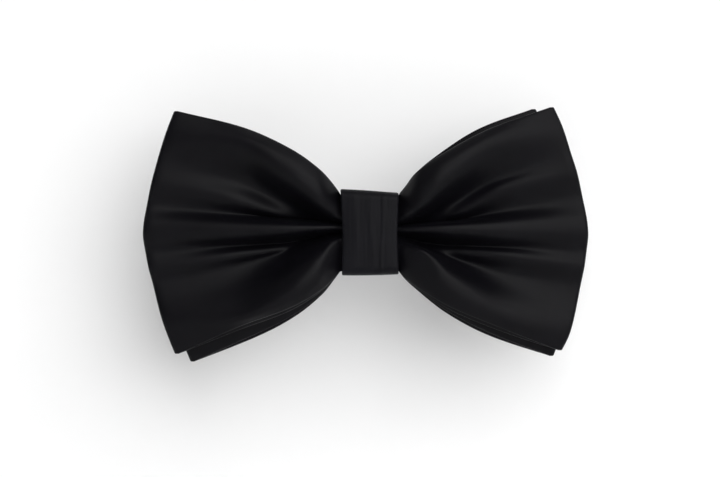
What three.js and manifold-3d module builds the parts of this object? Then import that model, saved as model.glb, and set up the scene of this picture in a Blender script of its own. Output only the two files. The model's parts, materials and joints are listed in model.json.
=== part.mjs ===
// A pre-tied satin bow tie that clips to a shirt collar, in millimetres.
// +Z is up, the front faces -Y and +X is on the right as seen from the front.
// The origin is the centre of the knot's flat back, which rests against the collar.
// Two satin bows lie one behind the other. Each is one long sleeve of satin with a strip of interlining
// in it, folded back at both wing tips so that its ends meet behind its middle. A thread gathers both
// bows, the knot is wrapped round them, and a sprung two-jaw clip passes under the back of the knot.
import * as THREE from "three";
import { mergeVertices } from "three/addons/utils/BufferGeometryUtils.js";
import Module from "manifold-3d";

const wasm = await Module();
wasm.setup();

// ---- Driving dimensions -------------------------------------------------------------------------
const BOW_WIDTH = 125; // tip to tip
const BOW_HEIGHT = 73; // twice the height of the tallest corner
const KNOT_OFFSET = 1.1; // the knot sits this far to the right of the bow's middle
const KNOT_WIDTH = 16;
const KNOT_HEIGHT = 23.5;
// A wing corner: how far it lies in from the wing's tip, and short of the full height.
const FRONT_TOP_LEFT = { inset: 8.7, short: 2.2 };
const FRONT_LOW_LEFT = { inset: 8.9, short: 2.4 };
const FRONT_TOP_RIGHT = { inset: 9.6, short: 1.1 };
const FRONT_LOW_RIGHT = { inset: 7.3, short: 3.3 };
const REAR_TIP_INSET = 2.6; // the rear bow is this much shorter at each tip
const REAR_TOP_LEFT = { inset: 9.6, short: 3.3 };
const REAR_LOW_LEFT = { inset: 10.3, short: 0 };
const REAR_TOP_RIGHT = { inset: 11.7, short: 1.4 };
const REAR_LOW_RIGHT = { inset: 6.7, short: 1.9 };

const FIT = 0.3; // clearance between pieces that touch
const SATIN = 0.3; // satin with its seam allowance
const INTERLINING = 0.5;
const SLEEVE_GAP = 0.25; // clearance of the interlining in its sleeve
const PANEL_PITCH = 2.1; // spacing of the four panels under the knot
const END_GAP = 1.5; // between the two ends of a bow, behind its middle
const FOLD_RADIUS = 1.2; // middle of the panel, where it turns back at a wing tip
const FOLD_GAP = 0.8; // between the two bows at the wing tips
const REAR_FOLD_DEPTH = 3.3; // from the origin's plane to the rear bow's back at the tips
const PLEAT_AT_THREAD = 1.2; // height of the pleats where the thread gathers them
const PLEAT_IN_WING = 5.2; // how much higher they rise in the wings

const GATHER_THREAD = 0.6;
const GATHER_TURNS = 3;
const GATHER_PITCH = 0.9;
const END_THREAD = 0.35;
const CLOSING_THREAD = 0.4;
const WRAP_WALL = 0.8; // the knot's folded satin, front, top and bottom
const WRAP_BACK = 1.2; // and at the back, where its ends lap
const WRAP_LINING = 0.6;
const WRAP_LINING_INSET = 0.75; // the lining is this much narrower than the satin at each side
const WRAP_CORNER = 3.5; // front corners of the knot
const WRAP_BACK_CORNER = 1.6;
const SEAM_X = 4; // the lap's seam on the back of the knot
const SEAM_WIDTH = 1.6;
const SEAM_DEPTH = 0.9;

const CLIP_WAIST = 4.5; // half height of the clip's plate where the knot holds it
const CLIP_ARM = 5.5; // half height of its arms
const CLIP_TONGUE = 3; // half height of the sewn-down ends
const TONGUE_LENGTH = 3.8;
const STEEL = 0.8;
const PIN_RADIUS = 0.7;
const PIN_CLEARANCE = 0.08;
const PIN_HEAD = 0.5; // height of its riveted heads, and how far they stand out all round
const EAR_WALL = 1.2; // metal round the pin in the plate's ears
const KNUCKLE_WALL = 1; // and in the jaw's knuckles
const KNUCKLE_CLEARANCE = 1.1; // knuckles to the base plate
const TAB_LENGTH = 6.9; // thumb tab, from the pin towards the knot
const TAB_CLEARANCE = 1.6; // end of the tab to the side of the knot
const TAB_RISE = 0.7;
const JAW_LENGTH = 13.9; // gripping arm, from the pin outwards
const ARM_DROP = 1.8; // how far its gripping end lies forward of the plate over the pin
const GRIP_LENGTH = 6.3;
const GRIP_THICKNESS = 0.9;
const GRIP_RIDGE = 0.25;
const GRIP_RIDGES = 4;
const TEETH = 5;
const TOOTH_DEPTH = 0.9;
const TEETH_GAP = 0.8; // teeth tips to the base plate
const SPRING_WIRE = 0.45;
const SPRING_PLAY = 0.325; // coil to the pin
const SPRING_COVER = 0.425; // coil to the jaw plate
const SPRING_TURNS = 3.5;
const SPRING_PITCH = 0.68;
const SPRING_LEG = 5;
const TACK_THREAD = 0.5;
const TACK_HOLE_RADIUS = 0.6;
const TACK_SPREAD = 1.6; // each tack hole's distance from the clip's centre line
const ROUND_SIDES = 12; // sides of every small round

// ---- What follows from them ---------------------------------------------------------------------
const PANEL = 2 * SATIN + 2 * SLEEVE_GAP + INTERLINING;
const KNOT_HALF = KNOT_WIDTH / 2;
const KNOT_SIDE = KNOT_HALF + FIT; // where the wings leave the knot
const PLATE_BACK = -(WRAP_BACK + FIT + WRAP_LINING + FIT);
const PLATE_FRONT = PLATE_BACK - STEEL;
const THREAD_BACK = PLATE_FRONT - FIT - GATHER_THREAD / 2;
const REAR_BACK_PANEL = THREAD_BACK - GATHER_THREAD / 2 - FIT - PANEL / 2;
const REAR_FRONT_PANEL = REAR_BACK_PANEL - PANEL_PITCH;
const FRONT_BACK_PANEL = REAR_FRONT_PANEL - PANEL_PITCH;
const FRONT_FRONT_PANEL = FRONT_BACK_PANEL - PANEL_PITCH;
const THREAD_FRONT = FRONT_FRONT_PANEL - PANEL / 2 - PLEAT_AT_THREAD - FIT - GATHER_THREAD / 2;
const KNOT_INSIDE_FRONT = THREAD_FRONT - GATHER_THREAD / 2 - FIT;
const KNOT_FRONT = KNOT_INSIDE_FRONT - WRAP_LINING - FIT - WRAP_WALL;
const KNOT_INSIDE_HALF = KNOT_HEIGHT / 2 - WRAP_WALL - FIT - WRAP_LINING;
const STACK_HALF_AT_SIDE = KNOT_INSIDE_HALF - FIT;
const STACK_HALF_AT_THREAD = KNOT_INSIDE_HALF - 2 * FIT - GATHER_THREAD;
const THREAD_HALF_SPAN = ((GATHER_TURNS - 1) * GATHER_PITCH) / 2 + GATHER_PITCH;
const PLEAT_AT_SIDE = PLEAT_AT_THREAD + GATHER_THREAD;
const REAR_FOLD_Y = -(REAR_FOLD_DEPTH + PANEL / 2 + FOLD_RADIUS);
const FRONT_FOLD_Y = REAR_FOLD_Y - (PANEL + 2 * FOLD_RADIUS + FOLD_GAP);
const PIN_LIFT = PIN_RADIUS + KNUCKLE_WALL + KNUCKLE_CLEARANCE; // its axis behind the plate's back
const PIN_Y = PLATE_BACK + PIN_LIFT;
const PIVOT_X = KNOT_HALF + TAB_CLEARANCE + TAB_LENGTH;
const TONGUE_START = PIVOT_X + JAW_LENGTH - 0.2; // just short of the jaw's teeth
const CLIP_HALF_LENGTH = TONGUE_START + TONGUE_LENGTH;
const TACK_X = CLIP_HALF_LENGTH - 1.4;
const SPRING_RADIUS = PIN_RADIUS + SPRING_PLAY + SPRING_WIRE / 2;
const JAW_Y = SPRING_RADIUS + SPRING_WIRE / 2 + SPRING_COVER + STEEL / 2; // from the pin's axis
const TIP_Y = JAW_Y - ARM_DROP;
const GRIP_START = JAW_LENGTH - FIT - GRIP_LENGTH;
const PIN_HOLE_RADIUS = PIN_RADIUS + PIN_CLEARANCE;
const EAR_INSIDE = CLIP_ARM - STEEL;
const JAW_HALF = EAR_INSIDE - FIT;

// ---- Colours ------------------------------------------------------------------------------------
const satin = new THREE.MeshStandardMaterial({ color: 0x0b0b0d, roughness: 0.38, metalness: 0 });
const knotSatin = new THREE.MeshStandardMaterial({ color: 0x101013, roughness: 0.55, metalness: 0 });
const interlining = new THREE.MeshStandardMaterial({ color: 0x303033, roughness: 0.95, metalness: 0 });
const thread = new THREE.MeshStandardMaterial({ color: 0x141416, roughness: 0.7, metalness: 0 });
const steel = new THREE.MeshStandardMaterial({ color: 0xc4c6c8, roughness: 0.28, metalness: 1 });
const springSteel = new THREE.MeshStandardMaterial({ color: 0x9a9ca0, roughness: 0.35, metalness: 1 });
const gripPlastic = new THREE.MeshStandardMaterial({ color: 0x2a2a2d, roughness: 0.6, metalness: 0 });

// ---- Helpers ------------------------------------------------------------------------------------
const part = new THREE.Group();

function addMesh(parent, name, geometry, material) {
  const mesh = new THREE.Mesh(geometry, material);
  mesh.name = name;
  parent.add(mesh);
  return mesh;
}

function asSolid(geometry) {
  const bare = geometry.clone();
  bare.deleteAttribute("normal");
  bare.deleteAttribute("uv");
  const merged = mergeVertices(bare, 1e-4);
  const mesh = new wasm.Mesh({
    numProp: 3,
    vertProperties: merged.attributes.position.array,
    triVerts: new Uint32Array(merged.index.array),
  });
  return new wasm.Manifold(mesh);
}

function asGeometry(solid) {
  const mesh = solid.getMesh();
  const geometry = new THREE.BufferGeometry();
  geometry.setAttribute("position", new THREE.BufferAttribute(mesh.vertProperties, 3));
  geometry.setIndex(new THREE.BufferAttribute(mesh.triVerts, 1));
  return geometry;
}

// A shape drawn in X and Y, made thick along Z from `z` upwards.
function plateAlongZ(shape, z, thickness) {
  return new THREE.ExtrudeGeometry(shape, { depth: thickness, bevelEnabled: false, curveSegments: 6 })
    .translate(0, 0, z);
}

// A shape drawn in Y and Z, made thick along X from `x` upwards.
function plateAlongX(shape, x, thickness) {
  return new THREE.ExtrudeGeometry(shape, { depth: thickness, bevelEnabled: false, curveSegments: 5 })
    .rotateY(Math.PI / 2)
    .rotateX(Math.PI / 2)
    .translate(x, 0, 0);
}

// A shape drawn in X and Z, made thick along Y from `back` forwards.
function plateAlongY(shape, back, thickness) {
  return new THREE.ExtrudeGeometry(shape, { depth: thickness, bevelEnabled: false, curveSegments: 4 })
    .rotateX(Math.PI / 2)
    .translate(0, back, 0);
}

function polygon(points) {
  return new THREE.Shape(points.map(([a, b]) => new THREE.Vector2(a, b)));
}

function circlePoints(radius, x, y) {
  return Array.from({ length: ROUND_SIDES }, (unused, i) => {
    const angle = (2 * Math.PI * i) / ROUND_SIDES;
    return [x + radius * Math.cos(angle), y + radius * Math.sin(angle)];
  });
}

function mix(a, b, share) {
  return a + (b - a) * share;
}

// A round thread or wire along a curve.
function threadAlong(curve, diameter, steps, sides) {
  const corner = (i) => (2 * Math.PI * i) / sides;
  const section = polygon(
    Array.from({ length: sides }, (unused, i) => [
      (diameter / 2) * Math.cos(corner(i)),
      (diameter / 2) * Math.sin(corner(i)),
    ]),
  );
  return new THREE.ExtrudeGeometry(section, { steps, extrudePath: curve });
}

// A curve whose point at each share of its way is given by a function.
class CurveOf extends THREE.Curve {
  constructor(pointAt) {
    super();
    this.pointAt = pointAt;
  }

  getPoint(share, target = new THREE.Vector3()) {
    return target.set(...this.pointAt(share));
  }
}

// ---- The bows -----------------------------------------------------------------------------------
// Rows across a panel from its lower to its upper edge: the share of the half height, and how much of
// the pleat's height the row stands forward. Two outer lobes, two valleys and a ridge in the middle.
const ROWS = [
  { share: -1, lift: 0.3 },
  { share: -0.82, lift: 0.8 },
  { share: -0.6, lift: 1 },
  { share: -0.25, lift: 0 },
  { share: 0, lift: 0.5 },
  { share: 0.25, lift: 0 },
  { share: 0.6, lift: 1 },
  { share: 0.82, lift: 0.8 },
  { share: 1, lift: 0.3 },
];
// Shares of the way from the knot's side to the fold at a wing's tip.
const WING_STATIONS = [0, 0.08, 0.24, 0.46, 0.72, 1];
const FOLD_STEPS = 3;

const LEFT = -1;
const RIGHT = 1;
const REACH = { [LEFT]: BOW_WIDTH / 2 + KNOT_OFFSET, [RIGHT]: BOW_WIDTH / 2 - KNOT_OFFSET };

const frontBow = {
  tipInset: 0,
  foldY: FRONT_FOLD_Y,
  front: { atKnot: FRONT_FRONT_PANEL, gain: 1 },
  back: { atKnot: FRONT_BACK_PANEL, gain: 0.6 },
  corners: {
    [LEFT]: { top: FRONT_TOP_LEFT, low: FRONT_LOW_LEFT },
    [RIGHT]: { top: FRONT_TOP_RIGHT, low: FRONT_LOW_RIGHT },
  },
};
const rearBow = {
  tipInset: REAR_TIP_INSET,
  foldY: REAR_FOLD_Y,
  front: { atKnot: REAR_FRONT_PANEL, gain: 0.3 },
  back: { atKnot: REAR_BACK_PANEL, gain: 0.15 },
  corners: {
    [LEFT]: { top: REAR_TOP_LEFT, low: REAR_LOW_LEFT },
    [RIGHT]: { top: REAR_TOP_RIGHT, low: REAR_LOW_RIGHT },
  },
};

// Half height of a wing at a distance from the knot's middle, on the side of the given corner.
function halfHeight(distance, cornerX, cornerHeight) {
  if (distance <= THREAD_HALF_SPAN) return STACK_HALF_AT_THREAD;
  if (distance <= KNOT_SIDE) {
    const share = (distance - THREAD_HALF_SPAN) / (KNOT_SIDE - THREAD_HALF_SPAN);
    return mix(STACK_HALF_AT_THREAD, STACK_HALF_AT_SIDE, share);
  }
  const way = (distance - KNOT_SIDE) / (cornerX - KNOT_SIDE);
  const flare = 0.7 * (1 - Math.max(0, 1 - way) ** 3.2) + 0.3 * way;
  return mix(STACK_HALF_AT_SIDE, cornerHeight, flare);
}

function wingRow(bow, side, share) {
  const corner = share > 0 ? bow.corners[side].top : bow.corners[side].low;
  const tip = REACH[side] - bow.tipInset;
  const cornerX = REACH[side] - corner.inset;
  const edgeX = mix(tip, cornerX, share * share); // the tip's edge bulges between its corners
  return {
    foldX: edgeX - FOLD_RADIUS - PANEL / 2,
    heightAt: (distance) => share * halfHeight(distance, cornerX, BOW_HEIGHT / 2 - corner.short),
  };
}

function pleatHeight(way) {
  return PLEAT_AT_SIDE * (1 - way) + PLEAT_IN_WING * Math.sin(Math.PI * way ** 0.75);
}

function panelY(bow, panel, way, lift) {
  const atFold = bow.foldY + (panel === bow.front ? -FOLD_RADIUS : FOLD_RADIUS);
  return mix(panel.atKnot, atFold, way) - panel.gain * pleatHeight(way) * lift;
}

// The stations of half a bow, from beside the middle of its front panel round the wing's tip to its
// end. Each gives a row's point in X and Y, its height, and the direction out of the loop.
function wingStations(bow, side) {
  const inKnot = (distance, panel, pleat) => (row) => ({
    x: side * distance,
    y: panel.atKnot - pleat * row.lift,
    z: wingRow(bow, side, row.share).heightAt(distance),
    out: [0, panel === bow.front ? -1 : 1],
  });
  const inWing = (way, panel) => (row) => {
    const { foldX, heightAt } = wingRow(bow, side, row.share);
    const distance = mix(KNOT_SIDE, foldX, way);
    return {
      x: side * distance,
      y: panelY(bow, panel, way, row.lift),
      z: heightAt(distance),
      out: [0, panel === bow.front ? -1 : 1],
    };
  };
  const inFold = (angle) => (row) => {
    const { foldX, heightAt } = wingRow(bow, side, row.share);
    const out = [Math.sin(angle), -Math.cos(angle)];
    const distance = foldX + FOLD_RADIUS * out[0];
    return {
      x: side * distance,
      y: bow.foldY + FOLD_RADIUS * out[1],
      z: heightAt(distance),
      out: [side * out[0], out[1]],
    };
  };
  const stations = [inKnot(THREAD_HALF_SPAN, bow.front, PLEAT_AT_THREAD)];
  WING_STATIONS.forEach((way) => stations.push(inWing(way, bow.front)));
  for (let i = 1; i < FOLD_STEPS; i++) stations.push(inFold((Math.PI * i) / FOLD_STEPS));
  [...WING_STATIONS].reverse().forEach((way) => stations.push(inWing(way, bow.back)));
  stations.push(inKnot(THREAD_HALF_SPAN, bow.back, PLEAT_AT_THREAD));
  stations.push(inKnot(END_GAP / 2, bow.back, PLEAT_AT_THREAD));
  return stations.map((station) => ROWS.map(station));
}

function bowStations(bow) {
  const middle = ROWS.map((row) => ({
    x: 0,
    y: bow.front.atKnot - PLEAT_AT_THREAD * row.lift,
    z: row.share * STACK_HALF_AT_THREAD,
    out: [0, -1],
  }));
  return [...wingStations(bow, LEFT).reverse(), middle, ...wingStations(bow, RIGHT)];
}

// The station with its first and last row drawn in by a margin, along the line to the next row.
function drawnIn(station, margin) {
  const last = station.length - 1;
  const moved = (from, to) => {
    const share = margin / Math.abs(to.z - from.z);
    return {
      x: mix(from.x, to.x, share),
      y: mix(from.y, to.y, share),
      z: mix(from.z, to.z, share),
      out: from.out,
    };
  };
  return station.map((point, i) => {
    if (i === 0) return moved(point, station[1]);
    if (i === last) return moved(point, station[last - 1]);
    return point;
  });
}

// The closed outline of a layer at a station: up its outer face and down its inner one.
function layerRing(station, halfThickness, margin) {
  const rows = drawnIn(station, margin);
  const shifted = (sign) => (p) => [
    p.x + sign * halfThickness * p.out[0],
    p.y + sign * halfThickness * p.out[1],
    p.z,
  ];
  return [...rows.map(shifted(1)), ...rows.map(shifted(-1)).reverse()];
}

function geometryOf(points, quads) {
  const geometry = new THREE.BufferGeometry();
  geometry.setAttribute("position", new THREE.Float32BufferAttribute(points.flat(), 3));
  geometry.setIndex(quads.flatMap(([a, b, c, d]) => [a, b, c, a, c, d]));
  return geometry;
}

// Quads between rings that follow each other, facing out, or in when `inward`. Each is split along the
// diagonal that fans out from the knot, on every layer alike, so that bent layers nest without crossing.
function skinQuads(rings, offset, inward) {
  const quads = [];
  const size = rings[0].length;
  const fansOut = (from, to) =>
    (Math.abs(to[0]) - Math.abs(from[0])) * (Math.abs(to[2]) - Math.abs(from[2])) > 0;
  for (let i = 0; i + 1 < rings.length; i++) {
    for (let k = 0; k < size; k++) {
      const next = (k + 1) % size;
      const here = offset + i * size;
      const [a, b, c, d] = [here + k, here + size + k, here + size + next, here + next];
      const quad = fansOut(rings[i][k], rings[i + 1][next]) ? [a, b, c, d] : [b, c, d, a];
      quads.push(inward ? [quad[0], quad[3], quad[2], quad[1]] : quad);
    }
  }
  return quads;
}

// A sleeve of satin, open at the two ends of its run.
function sleeveGeometry(stations) {
  const outer = stations.map((s) => layerRing(s, PANEL / 2, 0));
  const inner = stations.map((s) => layerRing(s, PANEL / 2 - SATIN, SATIN));
  const size = outer[0].length;
  const innerStart = outer.length * size;
  const quads = [
    ...skinQuads(outer, 0, false),
    ...skinQuads(inner, innerStart, true),
  ];
  const lastRing = (outer.length - 1) * size;
  for (let k = 0; k < size; k++) {
    const next = (k + 1) % size;
    quads.push([k, next, innerStart + next, innerStart + k]);
    quads.push([
      innerStart + lastRing + k,
      innerStart + lastRing + next,
      lastRing + next,
      lastRing + k,
    ]);
  }
  return geometryOf([...outer, ...inner].flat(), quads);
}

// A strip that fills the sleeve but for its clearance, closed at both ends.
function stripGeometry(stations) {
  const shortened = stations.map((station, i) => {
    const towards = i === 0 ? stations[1] : stations[stations.length - 2];
    if (i > 0 && i < stations.length - 1) return station;
    return station.map((p, row) => {
      const share = FIT / Math.abs(towards[row].x - p.x);
      return { ...p, x: mix(p.x, towards[row].x, share), z: mix(p.z, towards[row].z, share) };
    });
  });
  const rings = shortened.map((s) => layerRing(s, INTERLINING / 2, SATIN + SLEEVE_GAP));
  const size = rings[0].length;
  const quads = skinQuads(rings, 0, false);
  const lastRing = (rings.length - 1) * size;
  for (let row = 0; row + 1 < ROWS.length; row++) {
    const cap = [row, row + 1, size - 2 - row, size - 1 - row];
    quads.push(cap);
    quads.push(cap.map((index) => lastRing + index).reverse());
  }
  return geometryOf(rings.flat(), quads);
}

// Height and depth of the gathered panel's middle at a share of its half height.
function gatheredY(panel, share) {
  const upper = ROWS.findIndex((row) => row.share >= share);
  const low = ROWS[Math.max(0, upper - 1)];
  const high = ROWS[upper];
  const part = high === low ? 0 : (share - low.share) / (high.share - low.share);
  return panel.atKnot - PLEAT_AT_THREAD * mix(low.lift, high.lift, part);
}

// The zigzag thread that joins a bow's two ends.
function endStitch(bow) {
  const stitches = 6;
  const swing = END_GAP / 2 - FIT - END_THREAD / 2;
  const reach = 0.86;
  const points = [];
  for (let i = 0; i <= 2 * stitches; i++) {
    const share = mix(-reach, reach, i / (2 * stitches));
    const x = i % 2 ? swing : -swing;
    points.push(new THREE.Vector3(x, gatheredY(bow.back, share), share * STACK_HALF_AT_THREAD));
  }
  return threadAlong(new THREE.CatmullRomCurve3(points), END_THREAD, 4 * stitches, 5);
}

function addBow(name, bow) {
  const stations = bowStations(bow);
  addMesh(part, `${name}_satin`, sleeveGeometry(stations), satin);
  addMesh(part, `${name}_interlining`, stripGeometry(stations), interlining);
  addMesh(part, `${name}_end_stitch`, endStitch(bow), thread);
}

addBow("front_bow", frontBow);
addBow("rear_bow", rearBow);

// ---- The gathering thread -----------------------------------------------------------------------
// The point at a share of the way round a rectangle with rounded corners, from the middle of its back.
function roundedLoopPoint(share, low, high, halfHeightZ, corner) {
  const flatY = high - low - 2 * corner;
  const flatZ = 2 * (halfHeightZ - corner);
  const arc = (Math.PI / 2) * corner;
  const sides = [flatZ / 2, arc, flatY, arc, flatZ, arc, flatY, arc, flatZ / 2];
  const total = sides.reduce((sum, length) => sum + length, 0);
  let left = (share - Math.floor(share)) * total;
  let side = 0;
  while (side < sides.length - 1 && left > sides[side]) {
    left -= sides[side];
    side += 1;
  }
  const turned = (y, z, start) => {
    const angle = start + left / corner;
    return [y + corner * Math.cos(angle), z + corner * Math.sin(angle)];
  };
  const inZ = halfHeightZ - corner;
  const places = [
    () => [high, left],
    () => turned(high - corner, inZ, 0),
    () => [high - corner - left, halfHeightZ],
    () => turned(low + corner, inZ, Math.PI / 2),
    () => [low, inZ - left],
    () => turned(low + corner, -inZ, Math.PI),
    () => [low + corner + left, -halfHeightZ],
    () => turned(high - corner, -inZ, 1.5 * Math.PI),
    () => [high, left - inZ],
  ];
  return places[side]();
}

const gatherCurve = new CurveOf((share) => {
  const turns = share * GATHER_TURNS;
  const half = STACK_HALF_AT_THREAD + FIT + GATHER_THREAD / 2;
  const [y, z] = roundedLoopPoint(turns, THREAD_FRONT, THREAD_BACK, half, 0.7);
  return [(turns - GATHER_TURNS / 2) * GATHER_PITCH, y, z];
});
addMesh(part, "gather_thread", threadAlong(gatherCurve, GATHER_THREAD, 30 * GATHER_TURNS, 5), thread);

// ---- The knot -----------------------------------------------------------------------------------
// A band round the stack: its section in Y and Z, with a wall given for the back and for the rest.
function bandShape(back, front, half, backCorner, frontCorner) {
  const shape = new THREE.Shape();
  shape.moveTo(back, -half + backCorner);
  shape.lineTo(back, half - backCorner);
  shape.absarc(back - backCorner, half - backCorner, backCorner, 0, Math.PI / 2, false);
  shape.lineTo(front + frontCorner, half);
  shape.absarc(front + frontCorner, half - frontCorner, frontCorner, Math.PI / 2, Math.PI, false);
  shape.lineTo(front, -half + frontCorner);
  shape.absarc(front + frontCorner, -half + frontCorner, frontCorner, Math.PI, 1.5 * Math.PI, false);
  shape.lineTo(back - backCorner, -half);
  shape.absarc(back - backCorner, -half + backCorner, backCorner, 1.5 * Math.PI, 2 * Math.PI, false);
  return shape;
}

function bandGeometry(outer, wall, backWall, width) {
  const [back, front, half, backCorner, frontCorner] = outer;
  const shape = bandShape(...outer);
  const inside = bandShape(
    back - backWall,
    front + wall,
    half - wall,
    Math.max(backCorner - wall, 0.2),
    frontCorner - wall,
  );
  shape.holes.push(inside);
  return plateAlongX(shape, -width / 2, width);
}

const satinOutline = [0, KNOT_FRONT, KNOT_HEIGHT / 2, WRAP_BACK_CORNER, WRAP_CORNER];
const satinBand = asSolid(bandGeometry(satinOutline, WRAP_WALL, WRAP_BACK, KNOT_WIDTH));
const seamLength = KNOT_HEIGHT - 2 * WRAP_BACK_CORNER;
const seamGroove = asSolid(
  new THREE.BoxGeometry(SEAM_WIDTH, 2 * SEAM_DEPTH, seamLength).translate(SEAM_X, 0, 0),
);
addMesh(part, "knot_satin", asGeometry(satinBand.subtract(seamGroove)), knotSatin);

const liningGap = WRAP_WALL + FIT;
addMesh(
  part,
  "knot_interlining",
  bandGeometry(
    [
      -(WRAP_BACK + FIT),
      KNOT_FRONT + liningGap,
      KNOT_HEIGHT / 2 - liningGap,
      Math.max(WRAP_BACK_CORNER - liningGap, 0.3),
      WRAP_CORNER - liningGap,
    ],
    WRAP_LINING,
    WRAP_LINING,
    KNOT_WIDTH - 2 * WRAP_LINING_INSET,
  ),
  interlining,
);

function closingStitch() {
  const stitches = 7;
  const swing = SEAM_WIDTH / 2 - 0.8 * FIT - CLOSING_THREAD / 2;
  const reach = KNOT_HEIGHT / 2 - WRAP_BACK_CORNER - 2 * CLOSING_THREAD;
  const points = [];
  for (let i = 0; i <= 2 * stitches; i++) {
    const x = SEAM_X + (i % 2 ? swing : -swing);
    points.push(new THREE.Vector3(x, -SEAM_DEPTH / 2, mix(-reach, reach, i / (2 * stitches))));
  }
  return threadAlong(new THREE.CatmullRomCurve3(points), CLOSING_THREAD, 4 * stitches, 5);
}
addMesh(part, "knot_closing_stitch", closingStitch(), thread);

// ---- The clip's base plate ----------------------------------------------------------------------
function basePlate() {
  const waistEnd = KNOT_SIDE + 1;
  const quarter = [
    [waistEnd, CLIP_WAIST],
    [waistEnd + 2, CLIP_ARM],
    [TONGUE_START - 1, CLIP_ARM],
    [TONGUE_START, CLIP_ARM - 1],
    [TONGUE_START, CLIP_TONGUE],
    [CLIP_HALF_LENGTH - 1.2, CLIP_TONGUE],
    [CLIP_HALF_LENGTH - 0.35, CLIP_TONGUE - 0.35],
    [CLIP_HALF_LENGTH, CLIP_TONGUE - 1.2],
  ];
  const outline = [
    ...quarter.map(([x, z]) => [-x, z]),
    ...[...quarter].reverse().map(([x, z]) => [-x, -z]),
    ...quarter.map(([x, z]) => [x, -z]),
    ...[...quarter].reverse(),
  ];
  const shape = polygon(outline);
  [LEFT, RIGHT].forEach((side) => {
    [-TACK_SPREAD, TACK_SPREAD].forEach((z) => {
      shape.holes.push(polygon(circlePoints(TACK_HOLE_RADIUS, side * TACK_X, z)));
    });
  });
  let solid = asSolid(plateAlongY(shape, PLATE_BACK, STEEL));
  [LEFT, RIGHT].forEach((side) => {
    const x = side * PIVOT_X;
    const earRadius = PIN_RADIUS + EAR_WALL;
    const ear = new THREE.Shape();
    ear.moveTo(x - earRadius, PLATE_FRONT + STEEL / 2);
    ear.lineTo(x + earRadius, PLATE_FRONT + STEEL / 2);
    ear.lineTo(x + earRadius, PIN_Y);
    ear.absarc(x, PIN_Y, earRadius, 0, Math.PI, false);
    ear.holes.push(polygon(circlePoints(PIN_HOLE_RADIUS, x, PIN_Y)));
    [-CLIP_ARM, EAR_INSIDE].forEach((z) => {
      solid = solid.add(asSolid(plateAlongZ(ear, z, STEEL)));
    });
  });
  return asGeometry(solid);
}
addMesh(part, "clip_base_plate", basePlate(), steel);

// ---- The clip's jaws, each drawn about its pin with the arm towards +X -----------------------------
// The outline of a bent strip of a given thickness along a line of points.
function bentStrip(points, thickness) {
  const sideOf = (sign) => points.map(([x, y], i) => {
    const before = points[Math.max(0, i - 1)];
    const after = points[Math.min(points.length - 1, i + 1)];
    const into = new THREE.Vector2(x - before[0], y - before[1]).normalize();
    const outOf = new THREE.Vector2(after[0] - x, after[1] - y).normalize();
    const along = into.clone().add(outOf).normalize();
    const longer = 1 / Math.max(along.dot(into), along.dot(outOf));
    const shift = (sign * longer * thickness) / 2;
    return [x - shift * along.y, y + shift * along.x];
  });
  return polygon([...sideOf(-1), ...sideOf(1).reverse()]);
}

function jawGeometry() {
  const strip = bentStrip(
    [
      [-TAB_LENGTH, JAW_Y + TAB_RISE],
      [-TAB_LENGTH / 2, JAW_Y],
      [GRIP_START / 2, JAW_Y],
      [GRIP_START, TIP_Y],
      [JAW_LENGTH + STEEL, TIP_Y],
    ],
    STEEL,
  );
  let solid = asSolid(plateAlongZ(strip, -JAW_HALF, 2 * JAW_HALF));
  const knuckleRadius = PIN_RADIUS + KNUCKLE_WALL;
  const knuckle = new THREE.Shape();
  knuckle.moveTo(knuckleRadius, 0);
  knuckle.lineTo(knuckleRadius, JAW_Y);
  knuckle.lineTo(-knuckleRadius, JAW_Y);
  knuckle.lineTo(-knuckleRadius, 0);
  knuckle.absarc(0, 0, knuckleRadius, Math.PI, 2 * Math.PI, false);
  knuckle.holes.push(polygon(circlePoints(PIN_HOLE_RADIUS, 0, 0)));
  [-JAW_HALF, JAW_HALF - STEEL].forEach((z) => {
    solid = solid.add(asSolid(plateAlongZ(knuckle, z, STEEL)));
  });
  const tipsY = TEETH_GAP - PIN_LIFT;
  const rootsY = tipsY + TOOTH_DEPTH;
  const toothWidth = (2 * JAW_HALF) / TEETH;
  const comb = [[TIP_Y, JAW_HALF], [TIP_Y, -JAW_HALF], [rootsY, -JAW_HALF]];
  for (let i = 0; i < TEETH; i++) {
    comb.push([tipsY, -JAW_HALF + (i + 0.5) * toothWidth]);
    comb.push([rootsY, -JAW_HALF + (i + 1) * toothWidth]);
  }
  solid = solid.add(asSolid(plateAlongX(polygon(comb), JAW_LENGTH, STEEL)));
  return asGeometry(solid);
}

// A soft pad whose ridged face looks towards `facing` (-1 forwards, 1 backwards) from `seat`.
function gripGeometry(seat, facing, start) {
  const end = start + GRIP_LENGTH;
  const ridge = GRIP_LENGTH / GRIP_RIDGES;
  const points = [[end, seat], [start, seat]];
  for (let i = 0; i < GRIP_RIDGES; i++) {
    const x = start + i * ridge;
    points.push([x, seat + facing * (GRIP_THICKNESS - GRIP_RIDGE)]);
    points.push([x + ridge / 2, seat + facing * GRIP_THICKNESS]);
  }
  points.push([end, seat + facing * (GRIP_THICKNESS - GRIP_RIDGE)]);
  const outline = facing < 0 ? points : points.reverse();
  return plateAlongZ(polygon(outline), -JAW_HALF, 2 * JAW_HALF);
}

function pinGeometry() {
  const shaftEnd = CLIP_ARM + FIT;
  const headEnd = shaftEnd + PIN_HEAD;
  const headRadius = PIN_RADIUS + PIN_HEAD;
  const profile = [
    [0, -headEnd],
    [headRadius, -headEnd],
    [headRadius, -shaftEnd],
    [PIN_RADIUS, -shaftEnd],
    [PIN_RADIUS, shaftEnd],
    [headRadius, shaftEnd],
    [headRadius, headEnd],
    [0, headEnd],
  ];
  return new THREE.LatheGeometry(profile.map(([r, y]) => new THREE.Vector2(r, y)), ROUND_SIDES);
}

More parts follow.
